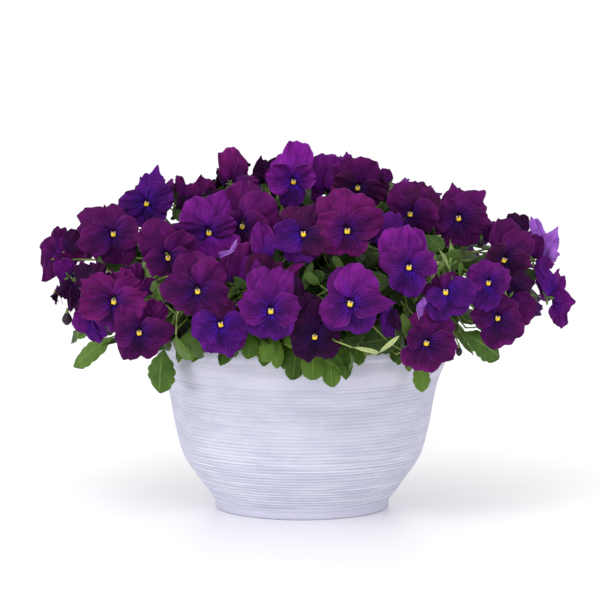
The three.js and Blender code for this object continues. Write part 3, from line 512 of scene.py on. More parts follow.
def pictured(x: float, y: float, depth: float) -> Array:
    """The point that a pixel of the photo shows.

    Args:
        x: The pixel's place from the photo's left edge.
        y: Its place from the top edge.
        depth: How far in front of the pot's axis the point is.

    Returns:
        The point.
    """
    right = (x - PHOTO_WIDTH / 2) / FOCUS
    up = (PHOTO_WIDTH / 2 - y) / FOCUS
    span = (VIEW_DISTANCE - depth) / (math.cos(TILT) + up * math.sin(TILT))
    height = VIEW_HEIGHT + span * (up * math.cos(TILT) - math.sin(TILT))
    return vector(VIEW_ACROSS + span * right, -depth, height)


def seen_pixel(point: Array) -> tuple[float, float]:
    """The pixel of the photo that shows a point.

    Args:
        point: The point.

    Returns:
        The pixel's place from the left and from the top.
    """
    away = point[1] + VIEW_DISTANCE
    above = point[2] - VIEW_HEIGHT
    ahead = away * math.cos(TILT) - above * math.sin(TILT)
    up = away * math.sin(TILT) + above * math.cos(TILT)
    middle = PHOTO_WIDTH / 2
    return middle + FOCUS * (point[0] - VIEW_ACROSS) / ahead, middle - FOCUS * up / ahead


def mound_depth(across: float, height: float) -> float:
    """The depth at which the view line through a place meets the mound.

    Args:
        across: The place's distance to the right of the pot's axis.
        height: Its height.

    Returns:
        The distance in front of the pot's axis.
    """
    depth = 0.0
    for _ in range(VIEW_STEPS):
        x, _, z = seen_at(across, height, depth)
        reach = MOUND_UP if z > MOUND_Z else MOUND_DOWN
        rest = 1 - (x / MOUND_X) ** 2 - ((z - MOUND_Z) / reach) ** 2
        depth = (depth + MOUND_Y * math.sqrt(max(rest, EDGE_REST))) / 2
    return depth


def pictured_depth(x: float, y: float) -> float:
    """The depth at which the mound lies behind a pixel of the photo."""
    flat = pictured(x, y, 0)
    return mound_depth(flat[0], flat[2])


def mound_point(azimuth: float, rise: float, share: float) -> Array:
    """The point of the mound in a direction from its middle.

    Args:
        azimuth: The direction's turn from +X, in degrees.
        rise: How steeply it rises, in degrees.
        share: How far out the point is, where 1 is the mound's surface.

    Returns:
        The point.
    """
    way = vector(cosd(rise) * cosd(azimuth), cosd(rise) * sind(azimuth), sind(rise))
    reach = MOUND_UP if way[2] > 0 else MOUND_DOWN
    length = share / math.hypot(way[0] / MOUND_X, way[1] / MOUND_Y, way[2] / reach)
    return way * length + vector(0, 0, MOUND_Z)


def curve(ends: Sequence[Array], share: Any) -> Array:
    """Points on a smooth curve.

    Args:
        ends: Where it starts, one or two points that it bends towards, and where it ends.
        share: The points' shares of the way, one or many.

    Returns:
        The points.
    """
    share = np.asarray(share, float)[..., None]
    while len(ends) > 1:
        ends = [one + (other - one) * share for one, other in zip(ends, ends[1:])]
    return ends[0]


def wall_point(share: float) -> Array:
    """A point of the pot's wall, on a smooth curve through the points of the table.

    Args:
        share: The point's share of the way up.

    Returns:
        Its radius and height.
    """
    knots = np.array(WALL_CURVE, float)
    last = len(knots) - 1
    place = last * share
    step = min(int(place), last - 1)
    weight = place - step
    before, here, there, after = (knots[min(max(step + offset, 0), last)] for offset in (-1, 0, 1, 2))
    leave = (there - before) / 2
    arrive = (after - here) / 2
    cubic = 2 * here - 2 * there + leave + arrive
    square = 3 * there - 3 * here - 2 * leave - arrive
    return ((cubic * weight + square) * weight + leave) * weight + here


def wall_radius(height: float) -> float:
    """The outer radius of the smooth wall.

    Args:
        height: Where on the wall.

    Returns:
        The radius there.
    """
    if height <= WALL_CURVE[0][1]:
        return FOOT_RADIUS
    samples = np.array([wall_point(share) for share in np.linspace(0, 1, 400)])
    return float(np.interp(height, samples[:, 1], samples[:, 0]))


class Recipe:
    """A material under way: a tree of nodes that grows until the finish is complete."""

    def __init__(self, name: str) -> None:
        """Starts an empty material.

        Args:
            name: The material's name.
        """
        self.material = bpy.data.materials.new(name)
        self.material.use_nodes = True
        self.tree = self.material.node_tree
        self.tree.nodes.clear()

    def add_node(
        self, kind: str, *values: Any, inputs: dict[str, Any] | None = None, output: str = "", **settings: Any
    ) -> Socket | None:
        """Adds a shader node with its settings and links.

        Args:
            kind: The node's type, without its ShaderNode prefix.
            values: What its inputs in use get, in order: a socket, a constant or a colour's hex value.
            inputs: The same for inputs by their names.
            output: The name of the output to return, if it isn't the first in use.
            settings: The node's own properties.

        Returns:
            That output, or None where the node has none.
        """
        node = self.tree.nodes.new("ShaderNode" + kind)
        for name, value in settings.items():
            setattr(node, name, value)
        sockets = [one for one in node.inputs if one.enabled]
        named = {one.name: one for one in sockets}
        pairs = [*zip(sockets, values), *((named[name], value) for name, value in (inputs or {}).items())]
        for socket, value in pairs:
            if isinstance(value, Socket):
                self.tree.links.new(value, socket)
            else:
                socket.default_value = linear(value) if isinstance(value, str) else value
        return next((one for one in node.outputs if one.enabled and output in ("", one.name)), None)

    def read_map(self, name: str) -> list[Socket]:
        """The three numbers that the mesh's points hold under a name."""
        spot = self.add_node("Attribute", output="Vector", attribute_name=name)
        return list(self.add_node("SeparateXYZ", spot).node.outputs)

    def mask(self, *factors: Any) -> Socket:
        """The product of several values, of which some first change smoothly.

        Args:
            factors: Sockets and constants. One that changes is a tuple: its socket, where the change starts
                and ends, and the results there if they aren't 0 and 1. The change may run downwards.

        Returns:
            The product's socket.
        """
        values = []
        for factor in factors:
            if isinstance(factor, tuple):
                socket, first, last, *results = factor
                (low, start), (high, end) = sorted(zip((first, last), results or (0, 1)))
                ends = (low, high, start, end)
                factor = self.add_node("MapRange", socket, *ends, interpolation_type="SMOOTHSTEP")
            values.append(factor)
        return reduce(lambda one, other: self.add_node("Math", one, other, operation="MULTIPLY"), values)

    def paint(self, ground: Any, *coats: tuple[Any, Any]) -> Any:
        """Lays coats of colour over a ground.

        Args:
            ground: The ground's colour.
            coats: For each coat, how much of it shows, and its colour.

        Returns:
            The socket of the colour that results.
        """
        for share, tint in coats:
            ground = self.add_node("Mix", share, ground, tint, data_type="RGBA")
        return ground

    def finish(self, bump: Any, depth_mm: float, shader: dict[str, Any]) -> Material:
        """Adds the shader and its bump.

        Args:
            bump: The height that the bump follows.
            depth_mm: How deep it goes.
            shader: The shader's inputs.

        Returns:
            The finished material.
        """
        normal = self.add_node("Bump", inputs={"Height": bump, "Distance": depth_mm * MM, "Strength": 1.0})
        surface = self.add_node("BsdfPrincipled", inputs={**shader, "Normal": normal})
        self.add_node("OutputMaterial", inputs={"Surface": surface})
        return self.material


class Tone(Enum):
    """The kinds of bloom by their colour."""

    PLUM = "plum"
    MAGENTA = "magenta"
    VIOLET = "violet"
    BLUE = "blue"
    DUSK = "dusk"
    NIGHT = "night"
    PALE = "pale"


@dataclass(frozen=True)
class PansyPetal:
    """Pansy petal: thin, velvety tissue.

    The cells of its skin grew into short blunt hairs, which give it a faint sheen at grazing angles and
    hardly any gloss. The colour lies in their sap: plum to violet outside, and round the eye a blue violet
    halo. Dark guides run out from the eye, and a dark blotch fills the middle of the lip and of each side
    petal. The margin is a little paler, where the tissue is thinnest, and so is the back. Along the margin
    lies a painted highlight as well, stronger on darker petals.
    """

    tone: Tone
    outer: str
    heart: str
    edge: str
    behind: str
    blotch: str
    halo: str
    guide: str = "0c0114"
    sheen: str = "c060d0"
    cloud_mm: float = 14.0
    ior: float = 1.42
    roughness: float = 0.7

    def material(self) -> Material:
        """Makes the material, which reads the maps petal_map and petal_look.

        Returns:
            The material.
        """
        recipe = Recipe(f"pansy_petal_{self.tone.value}")
        node, mask = recipe.add_node, recipe.mask
        across, along, kind = recipe.read_map("petal_map")
        seed, back, light = recipe.read_map("petal_look")
        aside = node("Math", across, operation="ABSOLUTE")
        cloud = node("TexNoise", node("TexCoord", output="Object"), per_metre(self.cloud_mm), 3)
        # Rays about 1.5 mm apart, twice as coarse as the real veins to show, finer threads between them, the
        # guides' streaks, and broad folds that give painted light and shade: how often each repeats across
        # and along, its detail and roughness
        patterns = (
            (9.0, 0.8, 1.6, 4, 0.6),
            (22.0, 1.5, 1.3, 3, 0.6),
            (12.0, 0.0, 1.0, 2, 0.5),
            (1.6, 1.4, 1.5, 3, 0.6),
        )
        spot = node("CombineXYZ", across, along, seed)
        rays, threads, streaks, fold_shade = (
            node("TexNoise", node("VectorMath", spot, (wide, long, 40.0), operation="MULTIPLY"), *grain)
            for wide, long, *grain in patterns
        )
        ragged = node("Math", rays, 0.5, operation="SUBTRACT")
        ragged = node("Math", ragged, 0.55, along, operation="MULTIPLY_ADD")
        rim = node("Math", mask((along, 0.95, 1.0)), mask((aside, 0.95, 1.0)), operation="MAXIMUM")
        middle = mask((aside, 0.95, 0.45), (ragged, 1.02, 0.66), (kind, 0.1, 0.9, 0.12, 0.92))
        colour = recipe.paint(
            self.outer,
            (mask((cloud, 0.38, 0.72, 0, 0.5)), self.edge),
            (mask((ragged, 0.8, 0.12), (kind, 0.1, 0.9, 0.35, 0.95)), self.heart),
            # The blotch leaves violet stripes beside it
            (mask(middle, (rays, 0.36, 0.66, 1.0, 0.35)), self.blotch),
            (mask((rays, 0.46, 0.3, 0, 0.44)), self.blotch),
            (mask((threads, 0.5, 0.36, 0, 0.32)), self.blotch),
            (mask((ragged, 0.29, 0.08), (kind, 0.1, 0.9, 0.25, 0.75)), self.halo),
            (mask((streaks, 0.47, 0.56), (along, 0.55, 0.12), (kind, 0.2, 0.45, 0.35, 0.9)), self.guide),
            (mask((along, 0.12, 0.07, 0, 0.6)), self.guide),
            # The paler margin, partly the thin tissue's own colour and partly a painted highlight, stronger
            # on darker petals
            (mask(rim, (cloud, 0.4, 0.65, 0, 0.25), (light, 0.35, 0.2, 1, 2)), self.behind),
            (mask(back, 0.8), self.behind),
        )
        # How light each petal is, partly its own tone and partly painted light and shade, scales its colour
        value = node("Math", seed, 0.3, 0.62, operation="MULTIPLY_ADD")
        value = node("Math", light, 0.55, value, operation="MULTIPLY_ADD")
        # The painted light and shade of broad folds, and thinner places, make a petal lighter here and darker
        # there
        value = mask(value, (fold_shade, 0.32, 0.68, 0.74, 1.24))
        return recipe.finish(rays, 0.35, {
            "Base Color": node("HueSaturation", inputs={"Value": value, "Color": colour}),
            "Roughness": self.roughness,
            "IOR": self.ior,
            "Specular IOR Level": 0.08,
            "Sheen Weight": 0.1,
            "Sheen Roughness": 0.45,
            "Sheen Tint": self.sheen,
        })


PETALS = (
    PansyPetal(Tone.PLUM, "460b48", "360a5c", "601458", "6a3370", "22052a", "2c0a62"),
    PansyPetal(Tone.MAGENTA, "560f50", "3e0b62", "741866", "743a76", "2e0630", "300b70"),
    PansyPetal(Tone.VIOLET, "540f60", "400e74", "6c1a74", "72408a", "28073a", "3a0f94"),
    PansyPetal(Tone.BLUE, "420d60", "360c78", "5a1570", "643a86", "25063c", "350f98"),
    PansyPetal(Tone.DUSK, "3c0c38", "280a44", "521644", "582a5c", "1a0420", "22084c"),
    # The night colour is the darkest plum: some blooms have it, and blooms and petals that lie in shade wear
    # it as painted shade
    PansyPetal(Tone.NIGHT, "26062a", "1e063e", "380a36", "442049", "12021a", "1a0748"),
    PansyPetal(Tone.PALE, "8a50ae", "6a34a0", "a070c0", "c4aadc", "4c2070", "4a249a"),
)


@dataclass(frozen=True)
class PansyLeaf:
    """Pansy leaf: a soft blade that grew with a thin coat of wax.

    The wax gives it a dull shine. Rib, side veins and margin hold less green and look paler, and so does the
    underside. Old leaves yellow, and leaves deep in the mound get painted shade: their colour is darkened.
    """

    dark: str = "26440c"
    light: str = "648632"
    vein: str = "86a648"
    behind: str = "6c863e"
    pale: str = "b9c48a"
    # The near-black colour of the painted shade on leaves that lie in the mound's shade
    deep: str = "0c1806"
    side_veins: float = 6.0
    cloud_mm: float = 9.0
    ior: float = 1.43
    roughness: float = 0.55

    def material(self) -> Material:
        """Makes the material, which reads the maps leaf_map and leaf_look.

        Returns:
            The material.
        """
        recipe = Recipe("pansy_leaf")
        node, mask = recipe.add_node, recipe.mask
        # The leaf map's third number is how much painted shade a leaf gets
        across, along, depth = recipe.read_map("leaf_map")
        seed, back, shade = recipe.read_map("leaf_look")
        aside = node("Math", across, operation="ABSOLUTE")
        cloud = node("TexNoise", node("TexCoord", output="Object"), per_metre(self.cloud_mm), 4)
        # The side veins leave the rib at a slant, like a ladder's rungs
        ladder = node("Math", aside, -0.32, along, operation="MULTIPLY_ADD")
        ladder = node("Math", mask(ladder, self.side_veins), 0.5, operation="PINGPONG")
        side = mask((ladder, 0.08, 0.0), (aside, 1.0, 0.5), 0.55)
        veins = node("Math", side, mask((aside, 0.11, 0.02)), operation="MAXIMUM")
        colour = recipe.paint(
            self.dark,
            (node("Math", cloud, 0.8, -0.15, operation="MULTIPLY_ADD"), self.light),
            (mask((seed, 0.35, 1.0, 0, 0.75)), self.light),
            (mask(veins, 0.34), self.vein),
            (mask((aside, 0.86, 1.0, 0, 0.35)), self.vein),
            (mask(back, 0.7), self.behind),
            (shade, self.pale),
            # Painted shade: leaves in the mound's shade darken towards the near-black deep colour
            (depth, self.deep),
        )
        height = node("Math", veins, -1.0, mask(cloud, 0.8), operation="MULTIPLY_ADD")
        return recipe.finish(height, 0.5, {
            "Base Color": colour,
            "Roughness": self.roughness,
            "IOR": self.ior,
            "Specular IOR Level": 0.25,
            "Subsurface Weight": 0.08,
            "Subsurface Radius": (0.4, 1.0, 0.2),
            "Subsurface Scale": 0.6 * MM,
        })


@dataclass(frozen=True)
class GreenStem:
    """Stems, stalks and sepals: juicy tissue in a tight, smooth skin.

    The skin gives a soft shine, and light goes a little way in, so it looks yellower where it is thin.
    """

    name: str = "green_stem"
    dark: str = "44601f"
    light: str = "8c9c52"
    cloud_mm: float = 12.0
    ior: float = 1.4
    roughness: float = 0.5

    def material(self) -> Material:
        """Makes the material.

        Returns:
            The material.
        """
        recipe = Recipe(self.name)
        place = recipe.add_node("TexCoord", output="Object")
        cloud = recipe.add_node("TexNoise", place, per_metre(self.cloud_mm), 3)
        return recipe.finish(cloud, 0.2, {
            "Base Color": recipe.paint(self.dark, (recipe.mask((cloud, 0.3, 0.7)), self.light)),
            "Roughness": self.roughness,
            "IOR": self.ior,
            "Specular IOR Level": 0.4,
            "Subsurface Weight": 0.1,
            "Subsurface Radius": (0.5, 1.0, 0.2),
            "Subsurface Scale": 0.8 * MM,
        })


@dataclass(frozen=True)
class SoftTissue:
    """Small soft parts: the yellow eye, the throat, its tufts of hair, and withered petals.

    They are dense with hairs or crumpled cells, which leaves them matt, in one colour with a faint grain.
    """

    name: str
    main: str
    other: str
    grain_mm: float = 1.2
    ior: float = 1.4
    roughness: float = 0.6

    def material(self) -> Material:
        """Makes the material.

        Returns:
            The material.
        """
        recipe = Recipe(self.name)
        place = recipe.add_node("TexCoord", output="Object")
        grain = recipe.add_node("TexNoise", place, per_metre(self.grain_mm), 2)
        colour = recipe.paint(self.main, (recipe.mask((grain, 0.35, 0.7)), self.other))
        return recipe.finish(grain, 0.1, {"Base Color": colour, "Roughness": self.roughness, "IOR": self.ior})


@dataclass(frozen=True)
class PottingSoil:
    """Potting soil: moist peat and bark, filled in loose and pressed down by hand.

    It is matt and crumbly, dark brown where it is moist, with paler fibres and drier patches.
    """

    moist: str = "1d130c"
    fibre: str = "47331f"
    dry: str = "5b4630"
    crumb_mm: float = 4.0
    patch_mm: float = 22.0
    ior: float = 1.5
    roughness: float = 0.95

    def material(self) -> Material:
        """Makes the material.

        Returns:
            The material.
        """
        recipe = Recipe("potting_soil")
        place = recipe.add_node("TexCoord", output="Object")
        crumbs = recipe.add_node("TexNoise", place, per_metre(self.crumb_mm), 6, 0.7)
        patches = recipe.add_node("TexNoise", place, per_metre(self.patch_mm), 2)
        colour = recipe.paint(
            self.moist,
            (recipe.mask((crumbs, 0.35, 0.7)), self.fibre),
            (recipe.mask((patches, 0.55, 0.8, 0, 0.5)), self.dry),
        )
        looks = {"Base Color": colour, "Roughness": self.roughness, "IOR": self.ior}
        return recipe.finish(crumbs, 1.2, looks)


@dataclass(frozen=True)
class WhitewashedClay:
    """Turned clay with a lavender white wash.

    The wash was brushed on round the pot while it turned, so it lies in level streaks, thin on some
    stretches. The grooves get a greyer violet painted shade and the ridges between them a painted highlight,
    both stronger low on the wall; the rim band and the foot get a little painted shade. It is matt, with a
    faint powdery grain.
    """

    wash: str = "cccbdb"
    thin: str = "bdbcd0"
    # The greyer violet of the wash's streaks and of the painted shade in the grooves
    groove: str = "a0a2bf"
    # The painted highlight on the ridges between the grooves
    ridge_highlight: str = "f0f0f4"
    smudge: str = "bcc0c6"
    streak_long_mm: float = 60.0
    streak_high_mm: float = 2.6
    patch_mm: float = 45.0
    patch_squeeze: float = 2.2
    grain_mm: float = 1.4
    ior: float = 1.5
    roughness: tuple[float, float] = (0.62, 0.8)

    def material(self) -> Material:
        """Makes the material, which reads the map pot_map: groove, height and rim band.

        Returns:
            The material.
        """
        recipe = Recipe("whitewashed_clay")
        node, mask = recipe.add_node, recipe.mask
        groove, height, band = recipe.read_map("pot_map")
        place = node("TexCoord", output="Object")
        flat = (1, 1, self.streak_long_mm / self.streak_high_mm)
        flat = node("VectorMath", place, flat, operation="MULTIPLY")
        streaks = node("TexNoise", flat, per_metre(self.streak_long_mm), 7, 0.62)
        broad = node("VectorMath", place, (1, 1, self.patch_squeeze), operation="MULTIPLY")
        patches = node("TexNoise", broad, per_metre(self.patch_mm), 4, 0.6)
        grain = node("TexNoise", place, per_metre(self.grain_mm), 3)
        cover = node("Math", patches, 0.6, mask(streaks, 0.4), operation="MULTIPLY_ADD")
        # Masks of the painted highlight on the ridges and of the painted shade in the grooves
        ridges = mask((groove, 0.35, 0.0), (height, 0.62, 0.12, 0.1, 1.0), (streaks, 0.42, 0.62, 0.08, 0.5))
        groove_shade = mask(groove, (height, 0.6, 0.12, 0.24, 0.78), (streaks, 0.75, 0.35, 0.6, 1.0))
        # Painted shade at the wall's foot
        foot = mask((height, 0.07, 0.045, 0, 0.8))
        colour = recipe.paint(
            self.thin,
            (mask((cover, 0.36, 0.64)), self.wash),
            (mask((patches, 0.46, 0.34), (height, 0.4, 0.75, 0, 0.36)), self.smudge),
            (mask((streaks, 0.44, 0.28, 0, 0.16)), self.groove),
            # Painted highlight on the ridges between the grooves, stronger low on the wall
            (ridges, self.ridge_highlight),
            # Painted shade in the grooves, stronger low on the wall
            (groove_shade, self.groove),
            # Painted shade: the rim band takes a little of the thin wash's greyer colour, and the foot more
            (node("Math", mask(band, 0.15), foot, operation="MAXIMUM"), self.thin),
        )
        bump = node("Math", grain, 0.4, streaks, operation="MULTIPLY_ADD")
        return recipe.finish(bump, 0.25, {
            "Base Color": colour,
            "Roughness": mask((streaks, 0.3, 0.7, *self.roughness)),
            "IOR": self.ior,
            "Specular IOR Level": 0.35,
        })


@dataclass(frozen=True)
class PaleFloor:
    """The studio's floor: smooth painted board, nearly white, with hardly any grain."""

    main: str = "f7f7f9"
    other: str = "f9f9fb"
    cloud_mm: float = 300.0
    roughness: float = 0.35

    def material(self) -> Material:
        """Makes the material.

        Returns:
            The material.
        """
        recipe = Recipe("pale_floor")
        place = recipe.add_node("TexCoord", output="Object")
        cloud = recipe.add_node("TexNoise", place, per_metre(self.cloud_mm), 2)
        colour = recipe.paint(self.main, (cloud, self.other))
        return recipe.finish(cloud, 0.01, {"Base Color": colour, "Roughness": self.roughness})


class Surface:
    """Points, faces and maps of one piece, gathered before it becomes a mesh."""

    def __init__(self, maps: Sequence[str] = ()) -> None:
        """Starts an empty surface.

        Args:
            maps: The names of the triples of numbers that each point holds.
        """
        self.points: list[Array] = []
        self.faces: list[Array] = []
        self.finishes: list[Array] = []
        self.maps: dict[str, list[Array]] = {name: [] for name in maps}
        self.count = 0

    def add(self, points: Array, faces: Sequence[Array], finish: int, **maps: Array) -> None:
        """Adds points and faces.

        Args:
            points: Their places.
            faces: Arrays of triangles or quads, counted from these points' first.
            finish: The number of their material.
            maps: For each map's name, a triple for each point, or one for all.
        """
        points = np.asarray(points, float).reshape(-1, 3)
        for block in faces:
            self.faces.append(block + self.count)
            self.finishes.append(np.full(len(block), finish))
        for name, rows in self.maps.items():
            values = np.asarray(maps.get(name, (0.0, 0.0, 0.0)), float)
            rows.append(np.broadcast_to(values, (len(points), 3)))
        self.points.append(points)
        self.count += len(points)

    def piece(self, name: str, materials: Sequence[Material]) -> bpy.types.Object:
        """Makes the object, smooth, with its materials and maps.

        Args:
            name: The piece's name.
            materials: Its materials in the order of their numbers.

        Returns:
            The object, in metres.
        """
        mesh = bpy.data.meshes.new(name)
        sizes = np.concatenate([np.full(len(block), block.shape[1]) for block in self.faces])
        loops = np.concatenate([block.ravel() for block in self.faces]).astype(np.int32)
        mesh.vertices.add(self.count)
        mesh.vertices.foreach_set("co", (np.concatenate(self.points) * MM).astype(np.float32).ravel())
        mesh.loops.add(len(loops))
        mesh.loops.foreach_set("vertex_index", loops)
        mesh.polygons.add(len(sizes))
        mesh.polygons.foreach_set("loop_start", (np.cumsum(sizes) - sizes).astype(np.int32))
        mesh.polygons.foreach_set("material_index", np.concatenate(self.finishes).astype(np.int32))
        mesh.polygons.foreach_set("use_smooth", np.ones(len(sizes), bool))
        mesh.update(calc_edges=True)
        for key, rows in self.maps.items():
            layer = mesh.attributes.new(key, "FLOAT_VECTOR", "POINT")
            layer.data.foreach_set("vector", np.concatenate(rows).astype(np.float32).ravel())
        for material in materials:
            mesh.materials.append(material)
        made = bpy.data.objects.new(name, mesh)
        bpy.context.scene.collection.objects.link(made)
        log.info("%s: %d triangles", name, int((sizes - 2).sum()))
        return made


def grid_faces(rows: int, columns: int, closed: bool = False) -> Array:
    """Quads between rows of points that face out where columns turn to the right and rows go up.

    Args:
        rows: The number of rows.
        columns: The number of points in a row.
        closed: Whether a row's last point joins its first.

    Returns:
        The quads.
    """
    index = np.arange(rows * columns).reshape(rows, columns)
    if closed:
        index = np.concatenate([index, index[:, :1]], 1)
    corners = (index[:-1, :-1], index[:-1, 1:], index[1:, 1:], index[1:, :-1])
    return np.stack(corners, -1).reshape(-1, 4)


def grid_normals(grid: Array) -> Array:
    """Directions square to a grid of points."""
    return unit(np.cross(np.gradient(grid, axis=1), np.gradient(grid, axis=0)))


def sheet_spots(across: Array, along: Array, third: float) -> Array:
    """Where each point of a sheet's front and back lies across and along it, and a third number."""
    spots = np.stack(np.broadcast_arrays(across, along, third), -1).reshape(-1, 3)
    return np.concatenate([spots, spots])


def sheet_look(count: int, seed: float, light: float) -> Array:
    """For each of a sheet's points the seed of its pattern, 1 on the back or else 0, and how light it is."""
    back = np.arange(count) >= count // 2
    return np.stack(np.broadcast_arrays(seed, back, light), -1)


def sheet(front: Array, back: Array) -> Body:
    """A thin closed blade from two grids of points.

    Args:
        front: Rows of points of the front.
        back: The same for the back.

    Returns:
        The points, and the faces of the front, the back and the rim between them.
    """
    rows, columns = front.shape[:2]
    count = rows * columns
    index = np.arange(count).reshape(rows, columns)
    faces = grid_faces(rows, columns)
    edge = np.concatenate([index[0], index[1:, -1], index[-1, -2::-1], index[-2:0:-1, 0]])
    after = np.roll(edge, -1)
    rim = np.stack([after, edge, edge + count, after + count], -1)
    points = np.concatenate([front.reshape(-1, 3), back.reshape(-1, 3)])
    return points, [faces, faces[:, ::-1] + count, rim]


def circle(sides: int) -> Array:
    """The turns in radians of the points of a circle."""
    return np.arange(sides) * 2 * math.pi / sides


def capped(rings: Array, foot: Array, head: Array) -> Body:
    """A closed body from rings of points.

    Args:
        rings: The rings in order, each a row of points.
        foot: The point that closes the first ring.
        head: The point that closes the last.

    Returns:
        Its points and faces.
    """
    count, sides = rings.shape[:2]
    first = np.arange(sides)
    after = np.roll(first, -1)
    last = (count - 1) * sides
    below = np.stack([after, first, np.full(sides, count * sides)], -1)
    above = np.stack([first + last, after + last, np.full(sides, count * sides + 1)], -1)
    points = np.concatenate([rings.reshape(-1, 3), [foot, head]])
    return points, [grid_faces(count, sides, closed=True), below, above]


def tube(line: Array, radii: Sequence[float], sides: int) -> Body:
    """A closed round tube along a line of points.

    Args:
        line: The points.
        radii: The tube's radius at each.
        sides: The number of its sides.

    Returns:
        Its points and faces.
    """
    ways = unit(np.gradient(line, axis=0))
    across = vector(1, 0, 0) if abs(ways[0][2]) > 0.8 else vector(0, 0, 1)
    turns = circle(sides)
    rings = []
    for point, way, radius in zip(line, ways, radii):
        across = unit(across - way * across.dot(way))
        third = np.cross(way, across)
        rings.append(point + radius * (np.cos(turns)[:, None] * across + np.sin(turns)[:, None] * third))
    return capped(np.array(rings), line[0], line[-1])


def ball(centre: Array, axes: Array, sides: int, rings: int) -> Body:
    """A closed egg.

    Args:
        centre: Its middle.
        axes: Its three half axes as rows; the last is the one that the rings go up along.
        sides: The number of its sides.
        rings: The number of its rings.

    Returns:
        Its points and faces.
    """
    turns = circle(sides)
    belt = np.cos(turns)[:, None] * axes[0] + np.sin(turns)[:, None] * axes[1]
    rises = np.linspace(-90, 90, rings + 2)[1:-1]
    grid = np.array([centre + sind(rise) * axes[2] + cosd(rise) * belt for rise in rises])
    return capped(grid, centre - axes[2], centre + axes[2])


@dataclass
class Bloom:
    """A bloom's place, the directions of its face, its top and its right side, its size and its colour."""

    place: Array
    face: Array
    top: Array
    side: Array
    size: float
    tone: Tone
    roll: float = 0.0
    number: int = 0

    @classmethod
    def at(cls, place: Array, yaw: float, pitch: float, roll: float, size: float, tone: str) -> "Bloom":
        """A bloom by its angles.

        Args:
            place: The middle of its throat.
            yaw: Turns the face to the right, in degrees.
            pitch: Turns it up.
            roll: Leans its top to the right.
            size: Its width.
            tone: The name of its colour.

        Returns:
            The bloom.
        """
        face = vector(sind(yaw) * cosd(pitch), -cosd(yaw) * cosd(pitch), sind(pitch))
        level = unit(np.cross(vector(0, 0, 1), face))
        top = np.cross(face, level) * cosd(roll) + level * sind(roll)
        return cls(place, face, top, np.cross(top, face), size, Tone(tone), roll)

    def points(self, right: Any, up: Any, out: Any) -> Array:
        """Points given in the bloom's own directions."""
        right, up, out = (np.asarray(one, float)[..., None] for one in np.broadcast_arrays(right, up, out))
        return self.place + right * self.side + up * self.top + out * self.face

    def fanned(self, turn: float, run: Array, aside: Array, out: Array) -> Array:
        """Points of a part that grows out from the bloom's middle.

        Args:
            turn: The part's turn to the right from straight up, in degrees.
            run: How far along it each point is.
            aside: How far to its right.
            out: How far towards the bloom's face.

        Returns:
            The points.
        """
        turn = math.radians(turn)
        right = run * math.sin(turn) + aside * math.cos(turn)
        up = run * math.cos(turn) - aside * math.sin(turn)
        return self.points(right, up, out)


@dataclass
class Leaf:
    """A leaf's base, tip and width, and the directions of its face and its side."""

    base: Array
    tip: Array
    width: float
    out: Array
    side: Array
    arch: float
    root: Array | None = None
    inner: bool = False
    pale: float = 0.0
    shaded: float = 0.0

    @classmethod
    def between(cls, base: Array, tip: Array, width: float) -> "Leaf":
        """A leaf that looks away from the pot's axis and a little up.

        Args:
            base: Where its blade starts.
            tip: Where it ends.
            width: How wide it is.

        Returns:
            The leaf.
        """
        way = unit(tip - base)
        outward = unit(vector(base[0], base[1], LEAF_LOOK_UP))
        out = unit(outward - way * outward.dot(way))
        return cls(base, tip, width, out, np.cross(way, out), LEAF_ARCH * float(np.linalg.norm(tip - base)))

    def facing_front(self, share: float) -> "Leaf":
        """The same leaf, turned towards the front.

        Args:
            share: How far it turns: 0 for not at all and 1 for all the way.

        Returns:
            The leaf.
        """
        way = unit(self.tip - self.base)
        out = (1 - share) * self.out + share * vector(0, -1, 0.1)
        out = unit(out - way * out.dot(way))
        return replace(self, out=out, side=np.cross(way, out))

    def rib(self, share: Any) -> Array:
        """Points on the rib at shares of its length."""
        pull = (self.base + self.tip) / 2 + self.out * self.arch
        return curve((self.base, pull, self.tip), share)


def crown_place(plant: int) -> Array:
    """The place of a plant's crown."""
    return around(CROWN_SPREAD, math.radians(45 + 90 * plant), 0)


def along_shoot(line: Array, share: float) -> Array:
    """The point at a share of a shoot's length."""
    step = min(int(share * SHOOT_STEPS), SHOOT_STEPS - 1)
    return line[step] + (line[step + 1] - line[step]) * (share * SHOOT_STEPS - step)


def quarter_of(point: Array) -> int:
    """The quarter, and so the plant, that a point belongs to."""
    turn = (math.degrees(math.atan2(point[1], point[0])) + 360) % 360
    return int(turn // 90) % PLANTS


